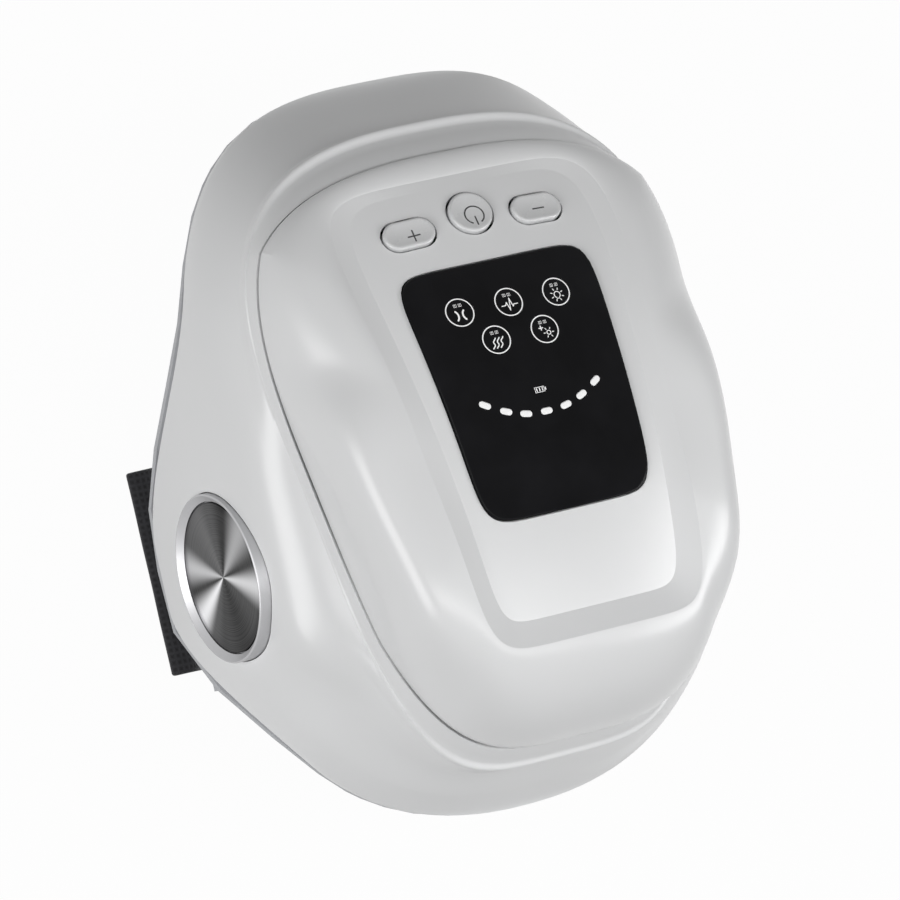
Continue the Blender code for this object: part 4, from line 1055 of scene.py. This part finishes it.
class KNEE_OT_shell(KneePieceOperator, bpy.types.Operator):
    """Outer shell with its wings, crease, seam ledge, round bezel openings and the charging port's opening"""
    bl_idname = "knee.shell"
    bl_label = "Shell"

    def execute(self, context):
        body = settings("knee_body")
        discs = settings("knee_discs")
        shell = skin("shell_skin", skin_steps * 8, len(flank_rows) + len(ledge_rows), shell_place)
        face_outwards(shell, body_middle)
        apply_modifier(shell, "SOLIDIFY", thickness=body.wall, **inwards)
        for side in (-1, 1):
            cutter = bar("bezel_bore", discs.bezel_radius + body.joint, discs.bezel_radius,
                         (0, 0, discs.bezel_radius / 2))
            cutter.data.transform(disc_place(side, discs.depth + body.wall))
            cut(shell, cutter)
        low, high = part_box("charging_port")
        middle = (Vector(low) + Vector(high)) / 2
        size = Vector(high) - Vector(low)
        turn = Matrix.Translation(middle) @ Matrix.Rotation(math.pi / 2, 4, "Y")
        turn = turn @ Matrix.Rotation(math.pi / 2, 4, "Z")
        cutter = pill("port_opening", size.y + 2 * body.joint, size.z + 2 * body.joint,
                      ((0, -size.x * 3), (0, size.x * 3)), turn, 48)
        cut(shell, cutter)
        clean(shell)
        shade(shell, 40)
        dress(shell, "white_shell", replaced=("main_shell",))
        return {"FINISHED"}


def cover_place(turn, row):
    """Point of the cover: dome with its sunk seam, then recess wall, then recess floor."""
    angle = direction(turn)
    if row < len(dome_rows):
        groove = settings("knee_body").groove
        point = dome_point(angle, dome_rows[row])
        sunk = Vector((point.x, point.y, 0)).normalized() * groove + Vector((0, 0, groove))
        return point - sunk * eased(1 - row / seam_rows)
    row -= len(dome_rows)
    if row < len(recess_rows):
        return dome_point(angle, 1.0).lerp(floor_point(angle, 1.0), recess_rows[row])
    return floor_point(angle, floor_rows[row - len(recess_rows)])


class KNEE_OT_cover(KneePieceOperator, bpy.types.Operator):
    """Domed cover with the recess, the display pocket and the button openings"""
    bl_idname = "knee.cover"
    bl_label = "Cover"

    def execute(self, context):
        cover = settings("knee_cover")
        controls = settings("knee_controls")
        count = len(dome_rows) + len(recess_rows) + len(floor_rows)
        dome = skin("cover_skin", skin_steps * 8, count, cover_place)
        face_outwards(dome, body_middle)
        apply_modifier(dome, "SOLIDIFY", thickness=cover.wall, **inwards)
        pocket = lens_shape("display_pocket", 0.0, -cover.glass_depth, 4 * cover.glass_proud)
        cut(dome, pocket)
        for word, across, along, length, height in button_list(controls):
            cutter = pill(word + "_opening", length, height, ((0, -3 * cover.wall), (0, 2 * cover.wall)),
                          floor_place(across, along))
            cut(dome, cutter)
        clean(dome)
        shade(dome, 14)
        dress(dome, "white_shell", replaced=("front_cover",))
        return {"FINISHED"}


def quarter_turn(steps):
    """Angles of a quarter turn, both ends included."""
    return [math.pi / 2 * step / steps for step in range(steps + 1)]


def display_point(angle, share, inset, lift):
    start = settings("knee_cover").display[3]
    distance = (reach("display", angle, start) - inset) * share
    x = distance * math.sin(angle)
    y = start + distance * math.cos(angle)
    return Vector((x, y, floor_height(x, y) + lift))


def lens_shape(name, inset, bottom, top, edge=0.0):
    """Closed slab that follows the floor, with a rounded upper edge."""
    rows = [(0.0, 0.0, bottom), (0.5, inset, bottom), (1.0, inset, bottom)]
    if edge:
        rows += [(1.0, inset + edge * (1 - math.cos(turn)), top - edge + edge * math.sin(turn))
                 for turn in quarter_turn(6)]
        rows += [(0.985, inset + edge, top), (0.9, inset + edge, top)]
    else:
        rows.append((1.0, inset, top))
    rows += [(share, inset + edge, top) for share in (0.75, 0.6, 0.45, 0.3, 0.15, 0.0)]

    def place(turn, row):
        share, pulled, level = rows[row]
        return display_point(direction(turn), share, pulled, level)

    return skin(name, 160, len(rows), place)


class KNEE_OT_display(KneePieceOperator, bpy.types.Operator):
    """Glossy display panel with its pictograms and level lights"""
    bl_idname = "knee.display"
    bl_label = "Display"

    def execute(self, context):
        cover = settings("knee_cover")
        joint = settings("knee_body").joint
        lens = lens_shape("display_glass", joint, -cover.glass_depth + joint, cover.glass_proud,
                          cover.glass_round)
        shade(lens, 50)
        dress(lens, "display_panel", replaced=("display_lens",))
        marks = lay_marks("display_marks", panel_strokes(), print_thickness)
        dress(marks, "panel_mark")
        return {"FINISHED"}


def arc(centre, radius, start, stop, steps=20):
    points = []
    for step in range(steps + 1):
        angle = math.radians(start + (stop - start) * step / steps)
        points.append((centre[0] + radius * math.cos(angle), centre[1] + radius * math.sin(angle)))
    return points


def shifted(points, centre):
    return [(x + centre[0], y + centre[1]) for x, y in points]


def panel_strokes():
    """Strokes as (points in millimetres on the panel, half width, closed)."""
    ring = 4.13
    line = 0.18
    places = {"squeeze": (-15.5, 10.1), "pulse": (0.0, 10.1), "lamp": (15.5, 10.1),
              "warmth": (-7.75, 0.0), "mode": (7.75, 0.0)}
    strokes = [(arc(centre, ring, 0, 360, 48)[:-1], line, True) for centre in places.values()]
    for x, y in places.values():
        for glyph in (-0.75, 0.75):
            box = [(glyph - 0.42, 1.75), (glyph + 0.42, 1.75), (glyph + 0.42, 2.55), (glyph - 0.42, 2.55)]
            strokes.append((shifted(box, (x, y)), line * 0.45, True))
            strokes.append((shifted([(glyph, 1.8), (glyph, 2.5)], (x, y)), line * 0.4, False))
    spot = places["squeeze"]
    for side in (-1, 1):
        middle = 90 + side * 90
        curve = arc((spot[0] + side * 2.6, spot[1] - 0.9), 1.9, middle - 46, middle + 46, 12)
        strokes.append((curve, line * 1.5, False))
    spot = places["pulse"]
    beat = [(-2.5, -0.9), (-1.3, -0.9), (-0.8, 0.0), (-0.3, -2.5), (0.4, 1.1), (0.9, -1.5), (1.3, -0.9),
            (2.5, -0.9)]
    beat = shifted(beat, spot)
    strokes += [([start, stop], line * 0.8, False) for start, stop in zip(beat, beat[1:])]
    spot = shifted([(0.0, -0.9)], places["lamp"])[0]
    strokes.append((arc(spot, 0.95, -60, 240, 20), line * 0.8, False))
    strokes.append((shifted([(-0.4, -1.15), (0.4, -1.15)], spot), line * 0.7, False))
    for step in range(8):
        angle = math.radians(45 * step + 22.5)
        strokes.append((shifted([(r * math.cos(angle), r * math.sin(angle)) for r in (1.55, 2.0)], spot),
                        line * 0.8, False))
    spot = places["warmth"]
    for wave in (-1.2, 0.0, 1.2):
        line_points = []
        for step in range(13):
            rise = -2.5 + 3.0 * step / 12
            line_points.append((wave + 0.35 * rise + 0.5 + 0.28 * math.sin(rise * 2.9), rise))
        strokes.append((shifted(line_points, spot), line * 1.0, False))
    spot = places["mode"]
    strokes.append((shifted([(-1.7, 0.5), (-0.5, 0.5)], spot), line, False))
    strokes.append((shifted([(-1.1, 1.1), (-1.1, -0.1)], spot), line, False))
    sun = shifted([(0.9, -1.2)], spot)[0]
    strokes.append((arc(sun, 0.6, 0, 360, 16)[:-1], line * 0.8, True))
    for step in range(6):
        angle = math.radians(60 * step)
        strokes.append(([(sun[0] + r * math.cos(angle), sun[1] + r * math.sin(angle)) for r in (1.15, 1.55)],
                        line * 0.8, False))
    corners = [(-1.55, -17.75), (1.35, -17.75), (1.35, -16.25), (-1.55, -16.25)]
    strokes.append((corners, line * 0.7, True))
    strokes.append(([(1.75, -17.3), (1.75, -16.7)], line, False))
    for cell in (-1.0, -0.1, 0.8):
        strokes.append(([(cell, -17.4), (cell, -16.6)], line, False))
    for x, y in ((-17.7, -18.0), (-12.1, -21.1), (-6.4, -23.0), (0.0, -23.5), (6.4, -23.0), (12.1, -21.1),
                 (17.7, -18.0)):
        slope = 2 * 5.6 * x / 17.7 ** 2
        turn = math.atan(slope)
        half = 0.82
        strokes.append(([(x - half * math.cos(turn), y - half * math.sin(turn)),
                         (x + half * math.cos(turn), y + half * math.sin(turn))], 1.0, False))
    return strokes


def ribbon_curve(name, strokes, scale):
    """Round strokes as one curve; open ends are rounded by a falling radius."""
    data = bpy.data.curves.new(name, "CURVE")
    data.dimensions = "3D"
    data.bevel_depth = 1.0
    data.bevel_resolution = 2
    data.use_fill_caps = True
    for points, half, closed in strokes:
        rows = [(x, y, half) for x, y in points]
        if not closed:
            rows = rounded_end(rows[1], rows[0], half)[::-1] + rows + rounded_end(rows[-2], rows[-1], half)
        spline = data.splines.new("POLY")
        spline.points.add(len(rows) - 1)
        for point, (x, y, radius) in zip(spline.points, rows):
            point.co = (x * scale, y * scale, 0, 1)
            point.radius = radius * scale
        spline.use_cyclic_u = closed
    piece = bpy.data.objects.new(name, data)
    bpy.context.scene.collection.objects.link(piece)
    choose(piece)
    bpy.ops.object.convert(target="MESH")
    return named(name)


def rounded_end(before, last, half):
    forward = Vector((last[0] - before[0], last[1] - before[1])).normalized()
    end = []
    for turn in (0.35, 0.7, 1.05, 1.35):
        reach_out = half * math.sin(turn)
        end.append((last[0] + forward.x * reach_out, last[1] + forward.y * reach_out, half * math.cos(turn)))
    return end


def lay_marks(name, strokes, thickness):
    """Lays flat strokes, drawn in millimetres round the panel's mark centre, on the glass."""
    cover = settings("knee_cover")
    piece = ribbon_curve(name, strokes, millimetre)
    highest = max(vertex.co.z for vertex in piece.data.vertices)
    for vertex in piece.data.vertices:
        x = vertex.co.x
        y = marks_along + vertex.co.y * math.cos(marks_lean)
        lift = thickness * vertex.co.z / highest
        vertex.co = (x, y, floor_height(x, y) + cover.glass_proud + lift + thickness * 0.3)
    return piece


def button_list(controls):
    return (
        ("power", 0.0, controls.power_at, controls.power_diameter, controls.power_diameter),
        ("plus", -controls.volume_offset, controls.volume_at, controls.volume_length, controls.volume_height),
        ("minus", controls.volume_offset, controls.volume_at, controls.volume_length, controls.volume_height),
    )


class KNEE_OT_buttons(KneePieceOperator, bpy.types.Operator):
    """Power, plus and minus buttons with their symbols"""
    bl_idname = "knee.buttons"
    bl_label = "Buttons"

    def execute(self, context):
        controls = settings("knee_controls")
        symbols = {
            "power": [(arc((0.6, -1.3), 2.9, -60, 240, 44), 0.24, False),
                      ([(0.6, -1.9), (0.6, -4.6)], 0.24, False)],
            "plus": [([(-0.8, -1.2), (2.8, -1.2)], 0.24, False), ([(1.0, -3.0), (1.0, 0.6)], 0.24, False)],
            "minus": [([(-1.5, -0.6), (2.0, -0.6)], 0.24, False)],
        }
        for word, across, along, length, height in button_list(controls):
            place = floor_place(across, along)
            gap = cap_gap * controls.slide
            rows = [(-gap, -controls.stem), (-gap, controls.proud - controls.edge)]
            rows += [(-gap - controls.edge * (1 - math.cos(turn)),
                      controls.proud - controls.edge * (1 - math.sin(turn))) for turn in quarter_turn(6)[1:]]
            dish = controls.edge * cap_dish
            rows += [(-gap - controls.edge * 1.5, controls.proud),
                     (-gap - controls.edge * 2.1, controls.proud - dish)]
            cap = pill(word + "_cap_skin", length, height, rows, place, 96)
            shade(cap, 35)
            dress(cap, "button_caps", word + "_cap", (word + "_button",))
            mark = ribbon_curve(word + "_symbol", symbols[word], millimetre)
            highest = max(vertex.co.z for vertex in mark.data.vertices)
            for vertex in mark.data.vertices:
                vertex.co.z = controls.proud - dish + symbol_thickness * vertex.co.z / highest
            mark.data.transform(place)
            dress(mark, "symbol_ink", word + "_cap")
        return {"FINISHED"}


def disc_place(side, behind):
    """Place behind a disc's face, its +Z out of the wing and tipped up as the wall leans."""
    discs = settings("knee_discs")
    face = Matrix.Translation((side * discs.face, discs.along, discs.height))
    return (face @ Matrix.Rotation(-side * discs.tip, 4, "Y") @ Matrix.Translation((-side * behind, 0, 0))
            @ Matrix.Rotation(side * math.pi / 2, 4, "Y"))


def bezel_profile(top, floor):
    """Half section of a bezel as (radius, height), its face at the bezel's depth."""
    discs = settings("knee_discs")
    outer = discs.bezel_radius
    inner = discs.bezel_inner
    face = discs.depth
    low = floor - bezel_foot
    profile = [(inner * pole_share, low), (inner, low), (inner, 0.0), (outer - 2 * step_down, 0.0),
               (outer, 2 * step_down)]
    profile += [(outer - bezel_round * (1 - math.cos(turn)), face - bezel_round * (1 - math.sin(turn)))
                for turn in quarter_turn(6)]
    return profile + [(outer - bezel_round * 1.2, face), (outer - bezel_round * 1.45, face - 1.5 * step_down),
                      (inner + step_down, top + step_down), (inner, top), (inner, floor),
                      (inner * pole_share, floor)]


def disc_profile(top, floor):
    """Half section of a turned disc, slightly crowned."""
    radius = settings("knee_discs").disc_radius
    profile = [(radius * pole_share, floor + step_down), (radius, floor + step_down),
               (radius, top - disc_crown), (radius - step_down, top - step_down), (radius - disc_crown, top)]
    return profile + [(radius * share, top - disc_crown * (1 - share ** 2)) for share in disc_shares]


class KNEE_OT_discs(KneePieceOperator, bpy.types.Operator):
    """Silver bezels and turned metal discs in the wings"""
    bl_idname = "knee.discs"
    bl_label = "Side discs"

    def execute(self, context):
        discs = settings("knee_discs")
        top = discs.depth - discs.set_back - bezel_chamfer
        floor = top - disc_thickness
        for side, word in ((-1, "left"), (1, "right")):
            place = disc_place(side, discs.depth)
            bezel = turned("bezel_ring_" + word, bezel_profile(top, floor), place)
            fill_poles(bezel)
            shade(bezel, 35)
            dress(bezel, "bezel_metal", replaced=("bezel_" + word,))
            disc = turned("turned_face_" + word, disc_profile(top, floor), place)
            fill_poles(disc)
            wrap_round(disc)
            shade(disc, 35)
            dress(disc, "turned_metal", replaced=("turned_disc_" + word,))
        return {"FINISHED"}


def fill_poles(piece):
    """Closes the small holes at a turned piece's ends."""
    edit_all(piece)
    bpy.ops.mesh.fill_holes(sides=0)
    bpy.ops.mesh.select_all(action="SELECT")
    bpy.ops.mesh.normals_make_consistent(inside=False)
    bpy.ops.object.mode_set(mode="OBJECT")


def wrap_round(piece):
    """Gives a turned face a map that runs round it, so that its sheen follows the turning."""
    discs = settings("knee_discs")
    layer = piece.data.uv_layers.new(name="round") if not piece.data.uv_layers else piece.data.uv_layers[0]
    for face in piece.data.polygons:
        middle = math.atan2(face.center.z - discs.height, face.center.y - discs.along)
        for corner in face.loop_indices:
            point = piece.data.vertices[piece.data.loops[corner].vertex_index].co
            angle = math.atan2(point.z - discs.height, point.y - discs.along)
            if angle - middle > math.pi:
                angle -= 2 * math.pi
            elif middle - angle > math.pi:
                angle += 2 * math.pi
            away = math.hypot(point.y - discs.along, point.z - discs.height)
            layer.data[corner].uv = (angle / (2 * math.pi), away / discs.disc_radius)


def strap_line():
    """Middle line of the band in the XZ plane."""
    strap = settings("knee_strap")
    wing = settings("knee_body").wing_edge
    half = strap.thickness / 2
    turn_radius = strap.bar_radius + settings("knee_body").joint + half
    near = strap.bar_x - turn_radius
    far = strap.bar_x + turn_radius
    path = [(-strap.fold_reach, strap.fold_height), (-strap.bar_x * 0.4, strap.fold_height),
            (-strap.bar_x * 0.75, strap.fold_height), (-near + 4.5 * half, strap.fold_height + half),
            (-near + half, wing - 2.5 * half), (-near, wing), (-near, (wing + strap.bar_height) / 2)]
    for step in range(5):
        angle = math.pi * step / 4
        path.append((-strap.bar_x + turn_radius * math.cos(angle),
                     strap.bar_height + turn_radius * math.sin(angle)))
    path += [(-far, (wing + strap.bar_height) / 2), (-far, wing), (-strap.bulge + half, strap.bulge_height),
             (-strap.bulge + 3.5 * half, strap.bulge_height * 0.4), (-strap.bar_x + half, half),
             (-strap.bar_x * 0.75, half), (0.0, half)]
    return path + [(-x, z) for x, z in reversed(path[:-1])]


def smooth_line(points, per_span):
    """Even curve through the points."""
    line = []
    points = [Vector((x, 0, z)) for x, z in points]
    for spot in range(len(points) - 1):
        before = points[max(spot - 1, 0)]
        start = points[spot]
        stop = points[spot + 1]
        after = points[min(spot + 2, len(points) - 1)]
        for step in range(per_span):
            t = step / per_span
            square = (2 * before - 5 * start + 4 * stop - after) * t ** 2
            cube = (3 * start - before - 3 * stop + after) * t ** 3
            line.append(0.5 * (2 * start + (stop - before) * t + square + cube))
    line.append(points[-1])
    return line


class KNEE_OT_strap(KneePieceOperator, bpy.types.Operator):
    """Textile band round both bars, with closed, folded back ends"""
    bl_idname = "knee.strap"
    bl_label = "Strap"

    def execute(self, context):
        strap = settings("knee_strap")
        line = smooth_line(strap_line(), 8)
        half = strap.thickness / 2
        reach_out = strap.width / 2
        lengths = [0.0]
        for before, after in zip(line, line[1:]):
            lengths.append(lengths[-1] + (after - before).length)
        rows = len(line) + 4
        flat = 1 - half / reach_out
        loop = [((-1 + 2 * step / (across_steps - 1)) * flat, 1.0) for step in range(across_steps)]
        loop += [(flat + (1 - flat) * math.sin(turn), math.cos(turn)) for turn in edge_turns]
        loop += [(-share, -side) for share, side in loop]
        # Thinness and reach of the two rows that close each end
        ends = ((0.0, half), (0.75, half * 0.6))

        def place(turn, row):
            share, side = loop[int(round(turn * len(loop))) % len(loop)]
            spot = min(len(line) - 1, max(0, row - 2))
            thin = 1.0
            push = 0.0
            if row < 2:
                thin, push = ends[row]
            elif row >= len(line) + 2:
                thin, push = ends[len(line) + 3 - row]
            point = line[spot]
            forward = (line[min(spot + 1, len(line) - 1)] - line[max(spot - 1, 0)]).normalized()
            normal = Vector((-forward.z, 0, forward.x))
            if push:
                point = point + forward * (push if row > 2 else -push)
            ripple = ripple_height * math.sin(lengths[spot] * ripple_along + share * 3)
            ripple *= math.sin(share * 5 + spot * 0.07)
            position = point + normal * (side * half * thin + ripple)
            return Vector((position.x, strap.along + share * reach_out, max(0.0, position.z)))

        band = skin("strap_band", len(loop), rows, place)
        layer = band.data.uv_layers[0]
        for corner in layer.data:
            across = corner.uv[0] * 2 * strap.width
            spot = corner.uv[1] * (rows - 1) - 2
            low = min(len(line) - 2, max(0, int(spot)))
            part = min(1.0, max(0.0, spot - low))
            along = lengths[low] + (lengths[low + 1] - lengths[low]) * part
            corner.uv = (across / strap.thread, along / strap.thread)
        shade(band, 40)
        dress(band, "strap_textile", replaced=("strap",))
        return {"FINISHED"}


class KNEE_OT_lining(KneePieceOperator, bpy.types.Operator):
    """Leg-side lining with smooth curves and crisp edges"""
    bl_idname = "knee.lining"
    bl_label = "Lining"

    def execute(self, context):
        lining = copied(frame["nodes"]["inner_lining"], "lining_skin")
        edit_all(lining)
        bpy.ops.mesh.dissolve_degenerate(threshold=2 * copy_gap)
        bpy.ops.object.mode_set(mode="OBJECT")
        shade(lining, 28)
        apply_modifier(lining, "WEIGHTED_NORMAL", keep_sharp=True)
        dress(lining, "leg_lining", replaced=("inner_lining",))
        return {"FINISHED"}


class KNEE_OT_cushions(KneePieceOperator, bpy.types.Operator):
    """Air cushions on the leg side, blown up as cloth"""
    bl_idname = "knee.cushions"
    bl_label = "Air cushions"

    def execute(self, context):
        soft = settings("knee_cushions")
        for word in ("left", "right"):
            packed = frame["nodes"]["air_cushion_" + word]
            pad = copied(packed, "cushion_pad_" + word)
            apply_modifier(pad, "DISPLACE", strength=-soft.drawn_in, mid_level=0.0)
            choose(pad)
            pad.data.remesh_voxel_size = soft.grain
            bpy.ops.object.voxel_remesh()
            apply_modifier(pad, "SMOOTH", factor=0.5, iterations=6)
            blow_up(pad, soft)
            apply_modifier(pad, "SUBSURF", levels=1, render_levels=1)
            shade(pad, 80)
            dress(pad, "cushion_textile", replaced=("air_cushion_" + word,))
        return {"FINISHED"}


def copied(packed, name):
    """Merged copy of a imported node's mesh as a piece of its own."""
    piece = bpy.data.objects.new(name, packed.data.copy())
    bpy.context.scene.collection.objects.link(piece)
    merged(piece, copy_gap)
    piece.data.materials.clear()
    return named(name)


def blow_up(pad, soft):
    """Swells the pad as cloth; the side against the lining stays where it is."""
    lining = BVHTree.FromPolygons([tuple(v.co) for v in frame["nodes"]["inner_lining"].data.vertices],
                                  [tuple(f.vertices) for f in frame["nodes"]["inner_lining"].data.polygons])
    start = [vertex.co.copy() for vertex in pad.data.vertices]
    choose(pad)
    cloth = pad.modifiers.new("cloth", "CLOTH")
    cloth.settings.use_pressure = True
    cloth.settings.uniform_pressure_force = soft.pressure
    cloth.settings.effector_weights.gravity = 0.0
    cloth.settings.quality = 5
    cloth.point_cache.frame_start = 1
    cloth.point_cache.frame_end = soft.frames
    for moment in range(1, soft.frames + 1):
        bpy.context.scene.frame_set(moment)
    choose(pad)
    bpy.ops.object.modifier_apply(modifier=cloth.name)
    bpy.context.scene.frame_set(1)
    for vertex, place in zip(pad.data.vertices, start):
        away = lining.find_nearest(place)[3]
        most = soft.cap * eased((away - soft.rest) / soft.rest)
        move = vertex.co - place
        if move.length > most:
            move *= most / move.length
        vertex.co = place + move


class KNEE_OT_finishes(KneePieceOperator, bpy.types.Operator):
    """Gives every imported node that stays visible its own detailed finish"""
    bl_idname = "knee.finishes"
    bl_label = "Finishes of the packed pieces"

    def execute(self, context):
        slots = {row["node"]: row["material_slot"] for row in frame["record"]["subparts"]}
        for name, piece in frame["nodes"].items():
            piece.data.materials.clear()
            piece.data.materials.append(finish_named("dark_plastic" if name in dark_nodes else slots[name]))
        return {"FINISHED"}


def seen_directly(tree, share):
    """Share for rays from the camera and from glossy and clear surfaces."""
    path = tree.nodes.new("ShaderNodeLightPath")
    value = path.outputs["Is Camera Ray"]
    for ray in ("Is Glossy Ray", "Is Transmission Ray"):
        either = tree.nodes.new("ShaderNodeMath")
        either.operation = "MAXIMUM"
        tree.links.new(value, either.inputs[0])
        tree.links.new(path.outputs[ray], either.inputs[1])
        value = either.outputs[0]
    scaled = tree.nodes.new("ShaderNodeMath")
    scaled.operation = "MULTIPLY"
    scaled.inputs[1].default_value = share
    tree.links.new(value, scaled.inputs[0])
    return scaled.outputs[0]


def chosen(tree, share, first, second):
    """Mixes two surfaces by a share."""
    mixer = tree.nodes.new("ShaderNodeMixShader")
    for source, socket in zip((share, first, second), mixer.inputs):
        tree.links.new(source, socket)
    return mixer.outputs[0]


def shader(tree, kind, **values):
    """New shader node with the given inputs."""
    node = tree.nodes.new("ShaderNode" + kind)
    for name, value in values.items():
        node.inputs[name].default_value = value
    return node.outputs[0]


def lay_floor(stage):
    """Pale floor that is clear from below."""
    floor = settle(added(bpy.ops.mesh.primitive_plane_add, "studio_floor", size=stage.floor_size,
                         location=(0, 0, -floor_drop)))
    material = bpy.data.materials.new("floor_sheet")
    material.use_nodes = True
    tree = material.node_tree
    surface = tree.nodes["Principled BSDF"]
    surface.inputs["Base Color"].default_value = (floor_grey, floor_grey, floor_grey, 1)
    surface.inputs["Roughness"].default_value = 0.9
    surface.inputs["Specular IOR Level"].default_value = 0.0
    paper = shader(tree, "Emission", Color=(1, 1, 1, 1))
    upper = chosen(tree, seen_directly(tree, stage.floor_light), surface.outputs[0], paper)
    below = tree.nodes.new("ShaderNodeNewGeometry").outputs["Backfacing"]
    sided = chosen(tree, below, upper, shader(tree, "BsdfTransparent"))
    tree.links.new(sided, tree.nodes["Material Output"].inputs["Surface"])
    floor.data.materials.append(material)


def aim_camera(stage):
    """Camera that stands where the photograph was taken."""
    right = Vector(stage.camera_right).normalized()
    back = Vector(stage.camera_back).normalized()
    up = back.cross(right).normalized()
    right = up.cross(back)
    turn = Matrix((right, up, back)).transposed().to_4x4()
    camera = added(bpy.ops.object.camera_add, "photo_camera")
    camera.matrix_world = Matrix.Translation(Vector(stage.camera_place)) @ turn
    camera.data.lens = stage.lens
    camera.data.sensor_width = 36.0
    camera.data.clip_start = 0.05
    camera.data.clip_end = 200.0
    bpy.context.scene.camera = camera


def hang_lamps(stage):
    """Softboxes that face the object."""
    for name, place, wide, tall, power in lamps:
        lamp = added(bpy.ops.object.light_add, name, type="AREA", location=place)
        lamp.data.shape = "RECTANGLE"
        lamp.data.size = wide
        lamp.data.size_y = tall
        lamp.data.energy = getattr(stage, power)
        lamp.rotation_euler = (Vector(place) - lamp_target).to_track_quat("Z", "Y").to_euler()


def fill_air(stage):
    """Even light all round, white where it is seen directly."""
    world = bpy.data.worlds.new("studio_air")
    bpy.context.scene.world = world
    world.use_nodes = True
    tree = world.node_tree
    background = tree.nodes["Background"]
    background.inputs["Color"].default_value = (1, 1, 1, 1)
    background.inputs["Strength"].default_value = stage.air
    bright = shader(tree, "Background", Color=(1, 1, 1, 1), Strength=1.0)
    air = chosen(tree, seen_directly(tree, 1.0), background.outputs[0], bright)
    tree.links.new(air, tree.nodes["World Output"].inputs["Surface"])


class KNEE_OT_stage(KneePieceOperator, bpy.types.Operator):
    """Floor, soft studio light and the camera"""
    bl_idname = "knee.stage"
    bl_label = "Stage"

    def execute(self, context):
        stage = settings("knee_stage")
        lay_floor(stage)
        aim_camera(stage)
        hang_lamps(stage)
        fill_air(stage)
        bpy.context.scene.view_settings.view_transform = "Standard"
        return {"FINISHED"}


class KNEE_PT_panel(bpy.types.Panel):
    """Buttons and sizes for dressing the knee massager"""
    bl_idname = "KNEE_PT_panel"
    bl_label = "Knee massager"
    bl_space_type = "VIEW_3D"
    bl_region_type = "UI"
    bl_category = "Knee massager"

    def draw(self, context):
        layout = self.layout
        for operator in operators:
            layout.operator(operator.bl_idname)
        for name, group in groups.items():
            box = layout.box()
            box.label(text=name.replace("_", " "))
            values = getattr(context.scene, name)
            for key in group.__annotations__:
                box.prop(values, key)


operators = (KNEE_OT_finishes, KNEE_OT_shell, KNEE_OT_cover, KNEE_OT_display, KNEE_OT_buttons, KNEE_OT_discs,
             KNEE_OT_strap, KNEE_OT_lining, KNEE_OT_cushions, KNEE_OT_stage)


def register():
    for name, group in groups.items():
        bpy.utils.register_class(group)
        setattr(bpy.types.Scene, name, PointerProperty(type=group))
    for operator in operators:
        bpy.utils.register_class(operator)
    bpy.utils.register_class(KNEE_PT_panel)


def unregister():
    bpy.utils.unregister_class(KNEE_PT_panel)
    for operator in reversed(operators):
        bpy.utils.unregister_class(operator)
    for name, group in reversed(list(groups.items())):
        delattr(bpy.types.Scene, name)
        bpy.utils.unregister_class(group)


def main():
    register()
    for operator in operators:
        package, command = operator.bl_idname.split(".")
        getattr(getattr(bpy.ops, package), command)()


if __name__ == "__main__":
    main()
